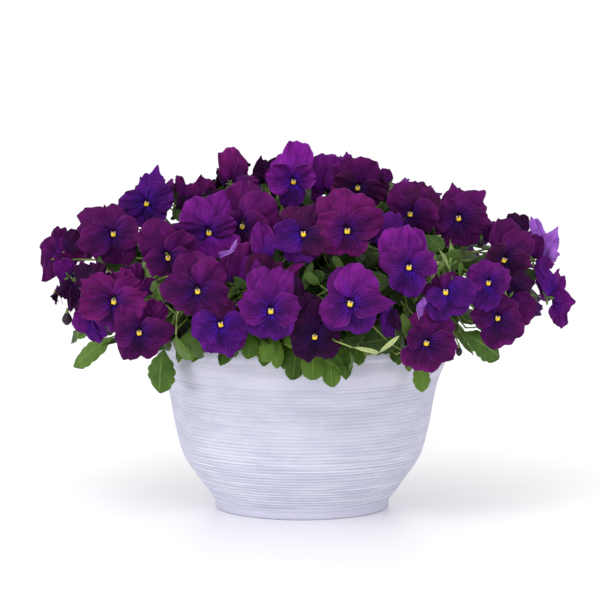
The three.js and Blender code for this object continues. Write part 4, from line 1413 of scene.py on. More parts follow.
@dataclass
class Layout:
    """Where the blooms, shoots, stalks and leaves are: the rule that the solids were made by."""

    rear_seed: int = 7
    rear_tries: int = 150
    rear_share: Range = Range(0.96, 0.05)
    rear_size: Range = Range(54, 12)
    rear_tones: tuple[str, ...] = ("plum", "magenta", "violet", "blue", "night", "plum", "violet")
    spacing: float = 51.5
    near_roots: int = 12
    skirt_seed: int = 31
    skirt_count: int = 15
    shoot_seed: int = 50
    shoot_shade: float = 0.68
    blooms: list[Bloom] = field(init=False)
    places: Array = field(init=False)
    faces: Array = field(init=False)
    sizes: Array = field(init=False)

    def __post_init__(self) -> None:
        """Places the blooms and numbers them from 1."""
        self.blooms = self.front_blooms()
        self.blooms += self.rear_blooms()
        for number, bloom in enumerate(self.blooms, 1):
            bloom.number = number
        self.places = np.array([bloom.place for bloom in self.blooms])
        self.faces = np.array([bloom.face for bloom in self.blooms])
        self.sizes = np.array([bloom.size for bloom in self.blooms])

    def front_blooms(self) -> list[Bloom]:
        """Places the blooms of the table, each where its view line meets the mound.

        Returns:
            The blooms.
        """
        made = []
        for across, height, lift, yaw, pitch, roll, size, tone in FRONT_BLOOMS:
            place = seen_at(across, height, mound_depth(across, height) + lift)
            made.append(Bloom.at(place, yaw, pitch, roll, size, tone))
        return made

    def rear_blooms(self) -> list[Bloom]:
        """Places the blooms of the back and the top, on a spiral that keeps clear of those already placed.

        Returns:
            The blooms.
        """
        draw = seeded_draws(self.rear_seed)
        placed = [bloom.place for bloom in self.blooms]
        made = []
        for turn in range(self.rear_tries):
            azimuth = (turn * GOLDEN_ANGLE) % 360
            rise = math.degrees(math.asin(-0.12 + (0.99 + 0.12) * turn / self.rear_tries))
            spot = mound_point(azimuth, rise, self.rear_share.drawn(draw))
            yaw = azimuth + 90 + spread(30, draw)
            pitch = min(66, max(-12, rise)) + spread(24, draw)
            roll = spread(30, draw)
            size = self.rear_size.drawn(draw)
            tone = self.rear_tones[int(len(self.rear_tones) * draw())]
            forward = 30 if spot[2] > 285 else 0
            behind = spot[1] > -35 + 0.17 * abs(spot[0]) - forward
            crowded = any(np.linalg.norm(other - spot) < self.spacing for other in placed)
            if behind and not crowded:
                made.append(Bloom.at(spot, yaw, pitch, roll, size, tone))
                placed.append(spot)
        return made

    def inside(self, points: Array, skip: int | None = None) -> Array:
        """Whether each point lies in the space that a bloom takes up.

        Args:
            points: The points.
            skip: The index of a bloom that doesn't count.

        Returns:
            A truth value for each point.
        """
        offset = np.asarray(points, float).reshape(-1, 1, 3) - self.places
        out = (offset * self.faces).sum(-1)
        reach = np.linalg.norm(offset - out[..., None] * self.faces, axis=-1)
        held = (reach < self.sizes / 2 + 2) & (out > -4 - 0.25 * reach) & (out < 5 + 0.2 * reach)
        if skip is not None:
            held[:, skip] = False
        return held.any(-1)

    def shoot_lines(self, plant: int) -> list[Array]:
        """The shoots of one plant.

        Args:
            plant: The plant's index.

        Returns:
            For each shoot the few points that it runs straight between.
        """
        crown = crown_place(plant)
        start = vector(crown[0], crown[1], SHOOT_START)
        lines = []
        for turn, rise in SHOOTS:
            end = mound_point(45 + 90 * plant + turn, rise, SHOOT_REACH)
            pull = start + (end - start) * SHOOT_PULL
            pull[2] = max(end[2], start[2] + SHOOT_CLIMB) + SHOOT_ARCH
            lines.append(curve((start, pull, end), np.arange(SHOOT_STEPS + 1) / SHOOT_STEPS))
        return lines

    def stalk(self, index: int, roots: list[Array]) -> Array:
        """The course of a bloom's stalk, which takes its root out of the free ones.

        Args:
            index: The bloom's index.
            roots: The free rooting places.

        Returns:
            The four points that its curve is drawn by.
        """
        bloom = self.blooms[index]
        seat = bloom.points(0, 0, -0.11 * bloom.size - CLEARANCE)
        behind = seat - 25 * bloom.face
        near = sorted(range(len(roots)), key=lambda one: np.linalg.norm(roots[one] - behind))
        best = None
        for one in near[:self.near_roots]:
            root = roots[one]
            span = float(np.linalg.norm(root - seat))
            leave = root + (seat - root) * 0.3 + vector(0, 0, 0.25 * span)
            for reach in (0.35, 0.6, 0.9):
                arrive = seat - bloom.face * reach * min(span, 60)
                ends = np.array([root, leave, arrive, seat])
                hits = self.inside(curve(ends, np.arange(10) / 10), index).sum()
                score = hits * 100 + span * (1 + 0.1 * reach)
                if best is None or score < best[0]:
                    best = (score, one, ends)
        roots.pop(best[1])
        return best[2]

    def cup_place(self, number: int) -> Array:
        """Where the cup of a bloom is whose petals are drawn one by one.

        Args:
            number: The bloom's number.

        Returns:
            The place.
        """
        x, y = SEEN_CUPS.get(number, SEEN_PETALS[number][0][:2])
        depth = -self.blooms[number - 1].place[1] - (0 if number in SEEN_CUPS else 6)
        return pictured(x, y, depth)

    def leaf_hits(self, leaf: Leaf) -> int:
        """How many points of a leaf's blade lie in the space of a bloom.

        Args:
            leaf: The leaf.

        Returns:
            Their number.
        """
        along = leaf.rib(np.repeat((0.1, 0.35, 0.6, 0.85, 1), 3))
        aside = np.tile((-0.5, 0, 0.5), 5)[:, None] * leaf.width
        return int(self.inside(along + aside * leaf.side).sum())

    def shows(self, leaf: Leaf) -> bool:
        """Whether a leaf would show from the front where the blooms leave no room for it.

        Args:
            leaf: The leaf.

        Returns:
            Whether it would.
        """
        for share in (0.3, 0.5, 0.75, 1.0):
            point = leaf.rib(share)
            x, y = seen_pixel(point)
            for left, right, top, bottom in LEAFLESS:
                if point[1] < 20 and left < x < right and top < y < bottom:
                    return True
        return False

    def front_leaves(self) -> list[Leaf]:
        """Places the leaves of the table, drawn back from the blooms that they would touch.

        Returns:
            The leaves.
        """
        made = []
        for tip_x, tip_z, tip_depth, base_x, base_z, base_depth, width in FRONT_LEAVES:
            for back in range(0, 80, 8):
                base = seen_at(base_x, base_z, base_depth - back)
                leaf = Leaf.between(base, seen_at(tip_x, tip_z, tip_depth - back / 4), width)
                if self.leaf_hits(leaf) == 0:
                    break
            made.append(leaf)
        return made

    def skirt_leaves(self) -> list[Leaf]:
        """Places leaves that hang over the rim at the sides and the back.

        Returns:
            The leaves.
        """
        draw = seeded_draws(self.skirt_seed)
        made = []
        for index in range(self.skirt_count):
            azimuth = math.radians(-14 + 208 * (index + 0.6 * draw()) / self.skirt_count)
            aim = azimuth + spread(0.25, draw)
            drop = Range(14, 14).drawn(draw)
            radius = RIM_RADIUS + Range(20, 12).drawn(draw)
            base = around(132, azimuth, Range(184, 6).drawn(draw))
            leaf = Leaf.between(base, around(radius, aim, POT_HEIGHT - drop), Range(18, 8).drawn(draw))
            if self.leaf_hits(leaf) == 0:
                made.append(leaf)
        return made

    def shoot_leaves(self, lines: list[Array], plant: int) -> list[Leaf]:
        """Places leaves along the shoots of one plant, inside the shell of blooms.

        Args:
            lines: The plant's shoots.
            plant: The plant's index.

        Returns:
            The leaves.
        """
        draw = seeded_draws(self.shoot_seed + plant)
        made = []
        for line in lines:
            end = line[-1]
            for place, turn, rise in SHOOT_LEAVES:
                root = along_shoot(line, place)
                heading = math.atan2(end[1], end[0]) + math.radians(turn + spread(40, draw))
                climb = math.radians(rise + (25 if end[2] > 250 else 0) + spread(40, draw))
                way = around(math.cos(climb), heading, math.sin(climb))
                length = Range(44, 14).drawn(draw)
                width = Range(24, 9).drawn(draw)
                for scale in (1, 0.8, 0.6):
                    base = root + way * 12 * scale
                    leaf = Leaf.between(base, base + way * length * scale, width * scale)
                    if quarter_of(leaf.tip) == plant and self.leaf_hits(leaf) == 0:
                        leaf.root = root
                        leaf.shaded = self.shoot_shade
                        made.append(leaf)
                        break
        return made


@dataclass
class PetalShape:
    """A petal's direction in degrees, and its sizes as shares of the bloom's."""

    turn: float
    reach: float
    width: float
    layer: float
    lean: float
    notch: float
    kind: float
    sharp: float = 0.0

    def grown(self, bloom: Bloom, index: int, draw: Draw) -> "PetalShape":
        """The petal as it grew on one bloom.

        Args:
            bloom: The bloom.
            index: The petal's place in the order of petals.
            draw: The draws of how far it is off the common shape.

        Returns:
            The petal's own shape.
        """
        turn = self.turn + spread(16, draw)
        reach = self.reach * Range(0.9, 0.18).drawn(draw)
        width = self.width * Range(0.88, 0.22).drawn(draw)
        lean = self.lean + spread(12, draw)
        sharp = 0.0
        if bloom.number in HABITS:
            seen_turn, seen_reach, seen_width, sharp = (*HABITS[bloom.number][index], 0.0)[:4]
            turn = seen_turn - bloom.roll
            reach = seen_reach / bloom.size
            width = 1.14 * seen_width / bloom.size
        share = LOW_BLOOMS.get(bloom.number, 1.0)
        return replace(self, turn=turn, reach=reach * share, width=width * share, lean=lean, sharp=sharp)


def waves(across: Array, table: Sequence[tuple[float, ...]], draw: Draw) -> Array:
    """Waves of several lengths, added up.

    Args:
        across: Where each point lies across, from -1 to 1.
        table: For each wave the least number of its half turns, how many more there may be, and its weight.
        draw: The draws of how long the waves are and where they start.

    Returns:
        The height at each point.
    """
    total = 0
    for least, more, weight in table:
        turns = Range(least, more).drawn(draw)
        total = total + weight * np.sin(math.pi * turns * across + FULL_TURN * draw())
    return total


@dataclass
class BloomMaker:
    """Builds the fine blooms. Sizes are shares of a bloom's width, apart from those of tissue and eye."""

    layout: Layout
    columns: int = 25
    rear_columns: int = 17
    rows: int = 13
    seed: int = 900
    # How wide a petal starts and how far from the bloom's middle, and how far its shoulders fall away
    claw: float = 0.055
    start: float = 0.024
    shoulder: float = 0.58
    # How far its edge curls back, its face ruffles, its sides droop and it twists
    curl: Range = Range(0.02, 0.16)
    ruffle: Range = Range(0.018, 0.032)
    droop: Range = Range(-0.06, 0.16)
    twist: float = 0.28
    # How far the outline's point, corners and frill stand out
    point: float = 0.13
    corner: float = 0.2
    frill: float = 0.007
    thickness: float = 0.6
    edge_thickness: float = 0.3
    # The eye on a bloom of the usual width, and how many hairs each tuft has
    eye_scale: float = 0.8
    usual_size: float = 62.0
    hairs: int = 11
    petals: tuple[PetalShape, ...] = (
        PetalShape(329, 0.53, 0.62, -0.056, -11, 0, 0.0),
        PetalShape(31, 0.53, 0.62, -0.022, -8, 0, 0.0),
        PetalShape(180, 0.425, 0.68, 0.004, 0, 0.04, 1.0),
        PetalShape(103, 0.435, 0.52, 0.034, 7, 0, 0.5),
        PetalShape(257, 0.435, 0.52, 0.034, 7, 0, 0.5),
    )
    long_waves: tuple[tuple[float, ...], ...] = ((0.9, 0.9, 1.0), (2.2, 1.6, 0.6), (4.5, 2.0, 0.25))
    frill_waves: tuple[tuple[float, ...], ...] = ((5.5, 2.0, 1.0), (8.5, 2.5, 0.6))
    materials: dict[str, Material] = field(default_factory=dict)

    def finishes(self) -> list[Material]:
        """Makes the materials of the blooms, once for all.

        Returns:
            One for each colour, then those of the eye, its spot, its tufts and the greens.
        """
        if not self.materials:
            for petal in PETALS:
                self.materials[petal.tone.value] = petal.material()
            self.materials["eye"] = SoftTissue("pansy_eye", "e9b714", "f2d548").material()
            self.materials["spot"] = SoftTissue("pansy_throat", "3a1804", "6a3408").material()
            self.materials["tuft"] = SoftTissue("pansy_tuft", "cdbcd8", "f2eaf2").material()
            self.materials["green"] = GreenStem("pansy_sepal", "36511c", "6c8440").material()
        return list(self.materials.values())

    def number_of(self, name: str) -> int:
        """The number of a material by its short name."""
        return list(self.materials).index(name)

    def petal(self, bloom: Bloom, shape: PetalShape, draw: Draw) -> tuple[Array, list[Array], Array]:
        """One petal: a fan that widens from its claw, waved along its edge and curled back there.

        Args:
            bloom: The bloom it belongs to.
            shape: Its direction and sizes.
            draw: The draws of its waves.

        Returns:
            Its points, its faces, and for each point where it lies across and along the petal.
        """
        size = bloom.size
        reach = size * shape.reach
        half = size * shape.width / 2
        columns = self.columns if bloom.number <= len(FRONT_BLOOMS) else self.rear_columns
        u = np.linspace(-1, 1, columns)[None, :]
        v = np.linspace(0, 1, self.rows)[:, None] ** 0.85
        wave = waves(u, self.long_waves, draw)
        frill = waves(u, self.frill_waves, draw)
        outline = 1 - self.shoulder * (1 - np.sqrt(np.maximum(1 - u * u, 0)))
        outline = outline - shape.sharp * (0.24 * np.abs(u) ** 0.8 - 0.08 * hump(u, 0, 0.18))
        outline = outline * (1 + 0.04 * wave + self.frill * frill)
        outline = outline - shape.notch / shape.reach * hump(u, 0, 0.2)
        # One shoulder or the other stands out
        for side in (-1, 1):
            outline = outline + self.corner * max(0, draw() - 0.3) * hump(u, side * 0.72, 0.22)
        # Some petals end in a soft point off their middle
        middle = spread(0.7, draw)
        outline = outline + self.point * max(0, draw() - 0.35) * hump(u, middle, 0.16)
        run = size * self.start + (reach * outline - size * self.start) * v
        widening = np.sin(math.pi / 2 * v ** 0.8)
        lopsided = 1 + spread(0.14, draw) * np.sign(u)
        aside = u * (size * self.claw * (1 - widening) + half * widening * lopsided)
        lift = size * shape.layer + math.tan(math.radians(shape.lean)) * run
        lift = lift - self.curl.drawn(draw) * (run / reach) ** 3 * reach
        lift = lift + size * self.ruffle.drawn(draw) * (wave + 0.25 * frill * v ** 2) * v ** 2
        lift = lift - size * 0.05 * hump(run, 0, 0.09 * size)
        lift = lift - size * self.droop.drawn(draw) * np.abs(u) ** 2.5 * v
        lift = lift + spread(self.twist, draw) * aside * v
        fold = hump(u, 0, 0.12) * 0.012 * size * v * (1 - v)
        front = bloom.fanned(shape.turn, run, aside, lift - fold)
        thick = self.thickness + (self.edge_thickness - self.thickness) * v[..., None]
        points, faces = sheet(front, front - grid_normals(front) * thick)
        return points, faces, sheet_spots(u, v, shape.kind)

    def add(self, surface: Surface, bloom: Bloom) -> None:
        """Adds a bloom: its petals, eye, tufts, sepals and cup.

        Args:
            surface: The surface that gets it.
            bloom: The bloom.
        """
        draw = seeded_draws(self.seed + bloom.number)
        seed = draw()
        if bloom.number in SEEN_PETALS:
            self.add_seen(surface, bloom, seed, draw)
            return
        for index, shape in enumerate(self.petals):
            # The two upper petals get painted light, 0.12 more, as if lit from above; the spread is each
            # petal's own tone
            light = 0.45 + spread(0.5, draw) + (0.12 if index < 2 else 0)
            tone, light, *kind = ODD_PETALS.get((bloom.number, index), (bloom.tone.value, light))
            grown = shape.grown(bloom, index, draw)
            if kind:
                grown = replace(grown, kind=kind[0])
            self.add_petal(surface, replace(bloom, tone=Tone(tone)), grown, (seed, light), draw)
        self.add_eye(surface, bloom, draw)
        self.add_cup(surface, bloom, draw)

    def add_petal(
        self, surface: Surface, bloom: Bloom, shape: PetalShape, looks: tuple[float, float], draw: Draw
    ) -> None:
        """Adds one petal.

        Args:
            surface: The surface that gets it.
            bloom: The bloom that it belongs to.
            shape: Its direction and sizes.
            looks: The seed of its pattern and how light it is, both from 0 to 1.
            draw: The draws of its waves.
        """
        points, faces, spots = self.petal(bloom, shape, draw)
        look = sheet_look(len(points), *looks)
        surface.add(points, faces, self.number_of(bloom.tone.value), petal_map=spots, petal_look=look)

    def add_seen(self, surface: Surface, bloom: Bloom, seed: float, draw: Draw) -> None:
        """Adds a bloom that the photo shows from the side, from behind or in part, petal by petal.

        Args:
            surface: The surface that gets it.
            bloom: The bloom.
            seed: The seed of its pattern.
            draw: The draws of its petals' waves.
        """
        depth = -bloom.place[1]
        for index, (x, y, end_x, end_y, width, tone, *sharp) in enumerate(SEEN_PETALS[bloom.number]):
            place = pictured(x, y, depth + 2.5 * index)
            yaw = 26 * (-1) ** index + spread(10, draw)
            turn = math.degrees(math.atan2(end_x - x, y - end_y))
            reach = PIXEL * math.hypot(end_x - x, end_y - y)
            size = 2 * reach
            part = Bloom.at(place, yaw, spread(8, draw), 0, size, tone)
            part.number = bloom.number
            shape = PetalShape(turn, 0.5, PIXEL * width / size, 0, spread(8, draw), 0, 0.0, *sharp)
            self.add_petal(surface, part, shape, (seed, 0.3 + 0.5 * draw()), draw)
        cup = self.layout.cup_place(bloom.number)
        share = 0.4 if bloom.number in SMALL_CUPS else 0.7
        stem = Bloom.at(cup, 180, 0, 0, share * bloom.size, "plum")
        self.add_cup(surface, stem, draw)

    def add_eye(self, surface: Surface, bloom: Bloom, draw: Draw) -> None:
        """Adds the yellow eye, the dark throat above it and the white tufts at its sides.

        Args:
            surface: The surface that gets them.
            bloom: The bloom.
            draw: The draws of the tufts' hairs.
        """
        scale = self.eye_scale * (bloom.size / self.usual_size) ** 0.6
        axes = np.array([bloom.side * 2.9, bloom.face * 2.4, -bloom.top * 2.9]) * scale
        centre = bloom.points(0, -1.1 * scale, -0.4 * scale)
        points, faces = ball(centre, axes, 12, 6)
        # The yellow patch is nearer to a square than to a circle
        right = (points - centre) @ bloom.side
        up = (points - centre) @ bloom.top
        flat = np.hypot(right, up)
        grow = flat / np.maximum((np.abs(right) ** 4 + np.abs(up) ** 4) ** 0.25, 0.01) - 1
        points = points + grow[:, None] * (right[:, None] * bloom.side + up[:, None] * bloom.top)
        surface.add(points, faces, self.number_of("eye"))
        axes = np.array([bloom.side * 0.8, bloom.face * 0.8, -bloom.top * 1.6]) * scale
        surface.add(*ball(bloom.points(0, 1.0 * scale, 1.3 * scale), axes, 8, 4), self.number_of("spot"))
        for side in (-1, 1):
            for _ in range(self.hairs):
                across = side * Range(1.6, 1.4).drawn(draw)
                height = Range(0.2, 1.2).drawn(draw)
                foot = bloom.points(across * scale, height * scale, 0.9 * scale)
                inward = across - side * Range(0.5, 0.4).drawn(draw)
                top = height + 0.5 + 0.6 * draw()
                tip = bloom.points(inward * scale, top * scale, Range(1.9, 0.4).drawn(draw) * scale)
                surface.add(*tube(np.array([foot, tip]), (0.3 * scale, 0.16), 3), self.number_of("tuft"))

    def add_cup(self, surface: Surface, bloom: Bloom, draw: Draw) -> None:
        """Adds the cup behind the petals and its five sepals.

        Args:
            surface: The surface that gets them.
            bloom: The bloom.
            draw: The draws of the sepals' turns and lengths.
        """
        green = self.number_of("green")
        size = bloom.size
        outs = np.array([-0.118, -0.108, -0.092, -0.075]) * size
        radii = np.array([0.02, 0.04, 0.05, 0.045]) * size
        surface.add(*tube(bloom.points(0, 0, outs), radii, 8), green)
        u = np.linspace(-1, 1, 3)[None, :]
        v = np.linspace(0, 1, 5)[:, None]
        for sepal in range(5):
            turn = 72 * sepal + 36 + spread(16, draw)
            run = size * 0.03 + v * (size * Range(0.15, 0.04).drawn(draw))
            aside = u * 0.032 * size * np.sin(math.pi * (0.12 + 0.86 * v)) ** 0.8
            front = bloom.fanned(turn, run, aside, size * (-0.1 - 0.045 * v ** 2) + 0 * u)
            surface.add(*sheet(front, front - bloom.face * 0.5), green)

    def build(self) -> None:
        """Builds one piece for each node of blooms and stands it for that node."""
        finishes = self.finishes()
        worst = 0.0
        for node in sorted(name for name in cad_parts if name.startswith("bloom_")):
            surface = Surface(("petal_map", "petal_look"))
            for number in node.split("_")[1:]:
                self.add(surface, self.layout.blooms[int(number) - 1])
            piece = surface.piece(f"pansy_{node}", finishes)
            points = np.concatenate(surface.points)
            ends = np.array([points.min(0), points.max(0)]) * MM
            worst = max(worst, float(np.abs(ends - np.array(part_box(node))).max()))
            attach(piece, "root")
            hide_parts(node)
        log.info("blooms: the fine ones reach within %.1f mm of their solids", worst / MM)


@dataclass
class PlantMaker:
    """Builds the fine plants: crowns, shoots, stalks and leaves."""

    layout: Layout
    # Points across and along the blade of a large, a usual and a deep leaf
    fine: tuple[int, int] = (9, 41)
    plain: tuple[int, int] = (7, 17)
    inner: tuple[int, int] = (5, 9)
    teeth: int = 6
    thickness: float = 0.7
    seed: int = 700
    fill_tries: int = 560
    deep_tries: int = 420
    fill_seed: int = 400
    rim_count: int = 46
    # How dark the shade makes the leaves of the fill, of the deep fill and of the gaps
    fill_shade: float = 0.7
    deep_shade: float = 0.88
    gap_shade: float = 0.5
    # Height and radius of the crown's rings
    crown_rings: tuple[tuple[float, float], ...] = (
        (CROWN_FOOT, CROWN_RADIUS), (156, CROWN_RADIUS), (164, 10), (174, 7), (CROWN_TOP, 2.5),
    )
    lines: list[list[Array]] = field(init=False)
    ends: Array = field(init=False)

    def __post_init__(self) -> None:
        """Finds the shoots of each plant, and the points of all of them that small leaves grow from."""
        self.lines = [self.layout.shoot_lines(plant) for plant in range(PLANTS)]
        shares = np.linspace(0.1, 1, 12)
        every = [line for own in self.lines for line in own]
        self.ends = np.array([along_shoot(line, share) for line in every for share in shares])

    def shoot_near(self, place: Array) -> Array:
        """The point of the shoots that is nearest to a place."""
        return self.ends[np.linalg.norm(self.ends - place, axis=1).argmin()]

    def blade(self, leaf: Leaf, counts: tuple[int, int], draw: Draw) -> tuple[Array, list[Array], Array]:
        """A leaf's blade with its scalloped edge, folded along its rib and waved.

        Args:
            leaf: The leaf.
            counts: How many points it has across and along.
            draw: The draws of its waves.

        Returns:
            Its points, its faces, and for each point where it lies across and along the leaf.
        """
        columns, rows = counts
        half = leaf.width / 2
        u = np.linspace(-1, 1, columns)[None, :]
        v = np.linspace(0, 1, rows)[:, None]
        # Some blades end bluntly, others in a point, and the widest place lies lower or higher
        widest = Range(1.35, 0.25).drawn(draw)
        pointed = Range(0.42, 0.28).drawn(draw)
        wide = np.sin(math.pi * np.clip(v, 0.012, 0.994) ** widest) ** pointed
        wide = wide * (0.2 + 0.8 * smooth_step(0, 0.35, v))
        scallop = np.abs(np.sin(math.pi * (self.teeth * v ** 0.9 + 0.15))) ** 0.7
        wide = wide * (1 - 0.15 * (1 - scallop) * smooth_step(0.1, 0.25, v))
        length = float(np.linalg.norm(leaf.tip - leaf.base))
        wave = length * 0.025 * np.sin(FULL_TURN * (1.5 * v + draw()) + 1.2 * np.sign(u)) * np.abs(u) ** 2
        cup = -LEAF_CUP * wide * half * np.abs(u) ** 1.3
        out = (cup + wave * smooth_step(0, 0.3, v))[..., None] * leaf.out
        centre = leaf.rib(v[:, 0])[:, None, :]
        front = centre + (u * wide * half)[..., None] * leaf.side + out
        thick = self.thickness * (1 - 0.45 * np.abs(u))[..., None]
        points, faces = sheet(front + leaf.out * thick / 2, front - leaf.out * thick / 2)
        return points, [block[:, ::-1] for block in faces], sheet_spots(u, v, leaf.shaded)

    def add_leaf(self, surface: Surface, leaf: Leaf, counts: tuple[int, int], draw: Draw) -> None:
        """Adds a leaf with its stalk.

        Args:
            surface: The surface that gets it.
            leaf: The leaf.
            counts: How many points its blade has across and along.
            draw: The draws of its waves and its colour.
        """
        points, faces, spots = self.blade(leaf, counts, draw)
        surface.add(points, faces, 0, leaf_map=spots, leaf_look=sheet_look(len(points), draw(), leaf.pale))
        if leaf.root is None:
            return
        way = leaf.rib(0.1) - leaf.base
        pull = leaf.base - way / max(np.linalg.norm(way), 0.1) * 0.4 * np.linalg.norm(leaf.root - leaf.base)
        line = curve((leaf.root, pull, leaf.rib(0.03)), np.linspace(0, 1, 5))
        surface.add(*tube(line, np.linspace(1.0, 0.75, 5), 5), 1)

    def hanging_leaves(self) -> list[Leaf]:
        """Gathers the large leaves along the rim.

        Returns:
            Those of the table, turned towards the front, then those of the sides and the back.
        """
        leaves = [leaf.facing_front(0.55) for leaf in self.layout.front_leaves()]
        for index, shaded in SHADED_LEAVES.items():
            leaves[index].shaded = shaded
        return leaves + self.layout.skirt_leaves()

    def fill_leaves(self) -> list[Leaf]:
        """Places small leaves that fill the mound behind the blooms, the second lot of them deep inside.

        Returns:
            The leaves.
        """
        draw = seeded_draws(self.fill_seed)
        made = []
        for turn in range(self.fill_tries + self.deep_tries):
            azimuth = (turn * GOLDEN_ANGLE) % 360
            deep = turn >= self.fill_tries
            count, tries = (turn - self.fill_tries, self.deep_tries) if deep else (turn, self.fill_tries)
            rise = math.degrees(math.asin(-0.55 + 1.52 * count / tries))
            depth = Range(0.22, 0.36) if deep else Range(0.6, 0.3)
            spot = mound_point(azimuth, rise, depth.drawn(draw))
            heading = math.radians(azimuth + spread(110, draw))
            climb = math.radians(0.5 * rise + spread(70, draw))
            way = around(math.cos(climb), heading, math.sin(climb))
            length = Range(30, 22).drawn(draw)
            width = length * Range(0.5, 0.15).drawn(draw)
            lowest = POT_HEIGHT + 6 if math.hypot(spot[0], spot[1]) < RIM_RADIUS + 30 else 140
            for scale in (1, 0.75, 0.55):
                half = way * length * scale / 2
                leaf = Leaf.between(spot - half, spot + half, width * scale)
                if min(leaf.base[2], leaf.tip[2]) < lowest:
                    break
                if self.layout.leaf_hits(leaf) == 0:
                    leaf.root = self.shoot_near(leaf.base)
                    leaf.inner = deep
                    leaf.shaded = self.deep_shade if deep else self.fill_shade
                    made.append(leaf)
                    break
        return made

    def gap_leaves(self) -> list[Leaf]:
        """Places the small leaves that the photo shows between the blooms.

        Returns:
            The leaves.
        """
        made = []
        for x, y, tip_x, tip_y, width, behind, pale in GAP_LEAVES:
            base = pictured(x, y, pictured_depth(x, y) - behind)
            tip = pictured(tip_x, tip_y, pictured_depth(tip_x, tip_y) - behind + 6)
            leaf = Leaf.between(base, tip, PIXEL * width)
            leaf.root = self.shoot_near(leaf.base)
            leaf.pale = pale
            leaf.shaded = self.gap_shade if behind >= 12 and pale == 0 else 0.0
            made.append(leaf)
        return made

    def rim_leaves(self) -> list[Leaf]:
        """Places leaves that rise from the soil's edge and lie over the rim.

        Returns:
            The leaves.
        """
        draw = seeded_draws(self.fill_seed + 1)
        made = []
        for index in range(self.rim_count):
            azimuth = FULL_TURN * (index + 0.5 * draw()) / self.rim_count
            base = around(Range(112, 14).drawn(draw), azimuth, Range(176, 12).drawn(draw))
            tip = around(Range(150, 16).drawn(draw), azimuth + spread(0.3, draw), Range(150, 28).drawn(draw))
            leaf = Leaf.between(base, tip, Range(15, 9).drawn(draw))
            leaf.arch += 6
            if self.layout.leaf_hits(leaf) <= 2:
                leaf.root = self.shoot_near(leaf.base)
                made.append(leaf)
        return made

    def add_bud(self, surface: Surface, row: tuple[float, ...]) -> None:
        """Adds a closed or withered bloom that hangs from its stalk.

        Args:
            surface: The surface that gets it.
            row: Its row in the table of buds.
        """
        x, y, tip_x, tip_y, width, behind = row
        depth = pictured_depth(x, y) - behind
        foot = pictured(x, y, depth)
        tip = pictured(tip_x, tip_y, depth)
        way = unit(tip - foot)
        shares = np.linspace(0, 1, 9)
        line = foot + shares[:, None] * (tip - foot)
        bulge = PIXEL * width / 2 * np.sin(math.pi * np.clip(shares, 0.04, 0.97) ** 1.7) ** 0.7
        surface.add(*tube(line, bulge, 9), 2)
        surface.add(*tube(line[:5] - way, 0.3 + 0.62 * bulge[:5] * (1.4 - shares[:5]), 7), 1)
        root = self.shoot_near(foot)
        pull = (root + foot) / 2 + vector(0, 0, 0.3 * float(np.linalg.norm(root - foot)))
        surface.add(*tube(curve((root, pull, foot + way), shares), np.linspace(1.1, 0.7, 9), 6), 1)

    def add_stems(self, surface: Surface, plant: int) -> None:
        """Adds a plant's crown and its shoots.

        Args:
            surface: The surface that gets them.
            plant: The plant's index.
        """
        heights, radii = np.array(self.crown_rings).T
        line = crown_place(plant) + heights[:, None] * vector(0, 0, 1)
        surface.add(*tube(line, radii, 14), 1)
        for line in self.lines[plant]:
            smooth = np.array([along_shoot(line, share) for share in np.linspace(0, 1, 13)])
            surface.add(*tube(smooth, np.linspace(3.2, 1.7, 13), 8), 1)

    def add_stalks(self, surface: Surface, plant: int, roots: list[Array]) -> None:
        """Adds the stalks of the blooms that stand on a plant.

        Args:
            surface: The surface that gets them.
            plant: The plant's index.
            roots: The free rooting places, out of which the stalks take theirs.
        """
        for index, bloom in enumerate(self.layout.blooms):
            if quarter_of(bloom.place) == plant:
                course = self.layout.stalk(index, roots)
                if bloom.number in SEEN_PETALS:
                    course[3] = self.layout.cup_place(bloom.number)
                    course[2] = course[3] + 0.35 * (course[0] - course[3])
                line = curve(course, np.linspace(0, 1, 12))
                surface.add(*tube(line, np.linspace(1.3, 0.9, 12), 7), 1)

    def build(self) -> None:
        """Builds one piece for each plant and stands it for its node."""
        materials = [
            PansyLeaf().material(),
            GreenStem().material(),
            SoftTissue("withered_petal", "190820", "2a1226").material(),
        ]
        hanging = self.hanging_leaves()
        extra = [*self.fill_leaves(), *self.rim_leaves(), *self.gap_leaves()]
        for plant, own in enumerate(self.lines):
            surface = Surface(("leaf_map", "leaf_look"))
            draw = seeded_draws(self.seed + plant)
            self.add_stems(surface, plant)
            roots = [along_shoot(line, share) for line in own for share in ROOT_SHARES]
            for leaf in hanging:
                if quarter_of(leaf.base) == plant:
                    closest = min(range(len(roots)), key=lambda one: np.linalg.norm(roots[one] - leaf.base))
                    leaf.root = roots.pop(closest)
                    self.add_leaf(surface, leaf, self.fine, draw)
            self.add_stalks(surface, plant, roots)
            small = self.layout.shoot_leaves(own, plant)
            small += [leaf for leaf in extra if quarter_of(leaf.base) == plant]
            for leaf in small:
                if not self.layout.shows(leaf):
                    self.add_leaf(surface, leaf, self.inner if leaf.inner else self.plain, draw)
            for row in BUDS:
                if quarter_of(pictured(row[0], row[1], 100)) == plant:
                    self.add_bud(surface, row)
            piece = surface.piece(f"pansy_plant_{plant + 1}", materials)
            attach(piece, "root")
            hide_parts(f"plant_{plant + 1}")


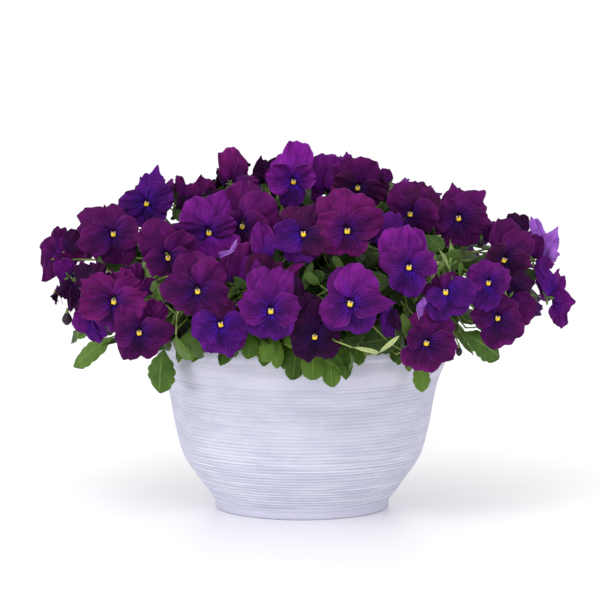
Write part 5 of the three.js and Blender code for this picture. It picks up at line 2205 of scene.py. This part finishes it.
@dataclass
class PotMaker:
    """Builds the fine pot: the wall with its turned grooves, the rim band and the plain inside."""

    sides: int = 128
    grooves: int = 38
    groove_from: float = 10.0
    groove_to: float = 132.0
    depth: float = 0.9
    steps: int = 6
    smooth_heights: tuple[float, ...] = (134, 137, 140, 143, 146, 150, 154)

    def profile(self) -> tuple[Array, Array]:
        """The outline from the underside round over the rim to the inner floor.

        Returns:
            Radius and height of each point, and for each the groove's number and how deep it is there.
        """
        curve = np.array([wall_point(share) for share in np.linspace(0, 1, 600)])
        length = np.concatenate([[0], np.cumsum(np.linalg.norm(np.diff(curve, axis=0), axis=1))])
        first, last = np.interp((self.groove_from, self.groove_to), curve[:, 1], length)
        count = self.grooves * self.steps
        foot = ((-2, 0), (-0.6, 0.5), (0, 1.8), (0, 4.8), (0.3, 8))
        outline = [(FOOT_RADIUS + out, height, 0, 0) for out, height in foot]
        for step in range(count + 1):
            place = first + (last - first) * step / count
            phase = step / self.steps
            cut = (0.5 - 0.5 * math.cos(FULL_TURN * phase)) ** 2
            radius, height = (np.interp(place, length, column) for column in curve.T)
            outline.append((radius, height, int(phase), cut))
        for height in self.smooth_heights:
            outline.append((min(wall_radius(height), RIM_RADIUS - RIM_STEP), height, 0, 0))
        band = POT_HEIGHT - RIM_BAND
        lip = RIM_RADIUS - WALL
        # Radius and height of each corner, and the offsets of the points that round it
        corners = (
            (RIM_RADIUS, band, ((-RIM_STEP, -0.4), (-0.4, 0.2), (0, 1.2), (0.1, 5))),
            (RIM_RADIUS, POT_HEIGHT, ((0, -1.8), (-0.6, -0.5), (-1.8, 0))),
            (lip, POT_HEIGHT, ((1.4, 0), (0.4, -0.5), (0, -1.6))),
            (lip, SOIL_TOP, ((0, -2),)),
        )
        for radius, height, offsets in corners:
            outline += [(radius + out, height + up, 0, 0) for out, up in offsets]
        outline += [(wall_radius(height) - WALL, height, 0, 0) for height in INNER_BENDS]
        outline.append((FOOT_RADIUS - WALL, FLOOR, 0, 0))
        table = np.array(outline, float)
        return table[:, :2], table[:, 2:]

    def build(self) -> None:
        """Builds the pot and stands it for its node."""
        outline, cuts = self.profile()
        number, cut = cuts[:, :1], cuts[:, 1:]
        height = outline[:, 1:]
        turns = circle(self.sides)
        # Each groove is a little deeper here and shallower there
        uneven = 0.72 + 0.28 * np.sin(turns * (2 + number % 3) + 2.4 * number) * np.sin(3 * turns + number)
        radius = outline[:, :1] - self.depth * cut * uneven
        grid = np.stack([radius * np.cos(turns), radius * np.sin(turns), height + 0 * turns], -1)
        points, faces = capped(grid, vector(0, 0, 0), vector(0, 0, FLOOR))
        band = smooth_step(POT_HEIGHT - RIM_BAND - 1, POT_HEIGHT - RIM_BAND + 1, height)
        looks = np.stack(np.broadcast_arrays(cut * uneven, height / POT_HEIGHT, band), -1).reshape(-1, 3)
        surface = Surface(("pot_map",))
        surface.add(points, faces, 0, pot_map=np.concatenate([looks, np.zeros((2, 3))]))
        piece = surface.piece("whitewashed_pot", [WhitewashedClay().material()])
        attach(piece, "root")
        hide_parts("pot")


@dataclass
class SoilMaker:
    """Builds the soil: an uneven top with crumbs on it."""

    sides: int = 96
    rings: int = 26
    crumbs: int = 520
    seed: int = 61

    def height(self, x: Array, y: Array) -> Array:
        """The height of the soil's top at a place.

        Args:
            x: The place along X, one or many.
            y: The same along Y.

        Returns:
            The height at each.
        """
        share = np.hypot(x, y) / (RIM_RADIUS - WALL)
        bumps = np.sin(x / 9.3) * np.sin(y / 7.9 + 1) + 0.6 * np.sin(x / 4.1 + 2) * np.sin(y / 4.7)
        return SOIL_TOP + SOIL_CROWN * (1 - share ** 2) + 1.1 * bumps * (1 - share ** 8)

    def build(self) -> None:
        """Builds the soil and stands it for its node."""
        edge = RIM_RADIUS - WALL - CLEARANCE
        bottom = FLOOR + CLEARANCE
        under = [(edge, SOIL_TOP - 2)]
        under += [(wall_radius(height) - WALL - CLEARANCE, height) for height in INNER_BENDS]
        under += [(FOOT_RADIUS - WALL - CLEARANCE, bottom)]
        lower = np.array(under)
        radii = np.concatenate([edge * (np.arange(self.rings) + 1) / self.rings, lower[:, 0]])[:, None]
        turns = -circle(self.sides)
        x, y = radii * np.cos(turns), radii * np.sin(turns)
        z = self.height(x, y)
        z[self.rings:] = lower[:, 1:]
        points, faces = capped(np.stack([x, y, z], -1), vector(0, 0, self.height(0, 0)), vector(0, 0, bottom))
        surface = Surface()
        surface.add(points, faces, 0)
        draw = seeded_draws(self.seed)
        for _ in range(self.crumbs):
            spot = around(edge * math.sqrt(draw()) * 0.97, FULL_TURN * draw(), 0)
            size = 1.0 + 2.2 * draw() ** 2
            spot[2] = float(self.height(spot[0], spot[1])) + 0.2 * size
            axes = unit(np.array([[draw() - 0.5 for _ in range(3)] for _ in range(3)])) * size
            axes[1] = unit(np.cross(axes[2], axes[0])) * size * 0.8
            axes[0] = unit(np.cross(axes[1], axes[2])) * size * 1.2
            surface.add(*ball(spot, axes, 5, 2), 0)
        piece = surface.piece("crumbly_soil", [PottingSoil().material()])
        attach(piece, "root")
        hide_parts("soil")


class Lamp(NamedTuple):
    """A square soft light: its name, place and aim, the length of its side and its power in watts."""

    name: str
    place: tuple[float, float, float]
    aim: tuple[float, float, float]
    side: float
    power: float


@dataclass
class Studio:
    """The plain floor, the soft light and the camera at the photo's angle."""

    lamps: tuple[Lamp, ...] = (
        Lamp("key", (-500, -2000, 2400), (0, 0, 200), 1200, 30),
        Lamp("right", (2200, -2400, 900), (0, 0, 180), 1400, 15),
        Lamp("left", (-2400, -1500, 450), (0, 0, 120), 1000, 20),
        Lamp("far", (0, 6500, 3500), (0, 6500, 0), 6000, 40),
    )
    sky_strength: float = 0.985
    # The floor reaches past every view, and so does what the camera sees
    floor_reach: float = 12000.0
    camera_reach: float = 50000.0

    def build(self) -> None:
        """Makes the camera, the floor and the lights."""
        scene = bpy.context.scene
        scene.view_settings.view_transform = "Standard"
        data = bpy.data.cameras.new("camera")
        data.lens = VIEW_LENS
        data.clip_end = self.camera_reach * MM
        scene.camera = self.aimed(
            "camera", data, (VIEW_ACROSS, -VIEW_DISTANCE, VIEW_HEIGHT), (VIEW_ACROSS, 0, VIEW_AIM)
        )
        self.floor()
        scene.world = bpy.data.worlds.new("studio")
        scene.world.use_nodes = True
        background = scene.world.node_tree.nodes["Background"]
        background.inputs["Color"].default_value = (1, 1, 1, 1)
        background.inputs["Strength"].default_value = self.sky_strength
        for lamp in self.lamps:
            data = bpy.data.lights.new(lamp.name, "AREA")
            data.size = lamp.side * MM
            data.energy = lamp.power
            self.aimed(lamp.name, data, lamp.place, lamp.aim)

    def aimed(self, name: str, data: Any, place: Sequence[float], aim: Sequence[float]) -> bpy.types.Object:
        """Sets up a camera or a lamp.

        Args:
            name: Its name.
            data: What it is.
            place: Where it is.
            aim: Where it points.

        Returns:
            The object.
        """
        made = bpy.data.objects.new(name, data)
        made.location = Vector(place) * MM
        made.rotation_euler = (Vector(aim) * MM - made.location).to_track_quat("-Z", "Y").to_euler()
        bpy.context.scene.collection.objects.link(made)
        return made

    def floor(self) -> None:
        """Makes the pale floor."""
        mesh = bpy.data.meshes.new("floor")
        reach = self.floor_reach * MM
        corners = [(-reach, -reach, 0), (reach, -reach, 0), (reach, reach, 0), (-reach, reach, 0)]
        mesh.from_pydata(corners, [], [(0, 1, 2, 3)])
        mesh.materials.append(PaleFloor().material())
        floor = bpy.data.objects.new("floor", mesh)
        bpy.context.scene.collection.objects.link(floor)


def main() -> None:
    """Builds the planter and its studio, and reports each piece."""
    Studio().build()
    layout = Layout()
    log.info("blooms placed: %d", len(layout.blooms))
    PotMaker().build()
    SoilMaker().build()
    PlantMaker(layout).build()
    BloomMaker(layout).build()
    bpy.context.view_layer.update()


if __name__ == "__main__":
    main()
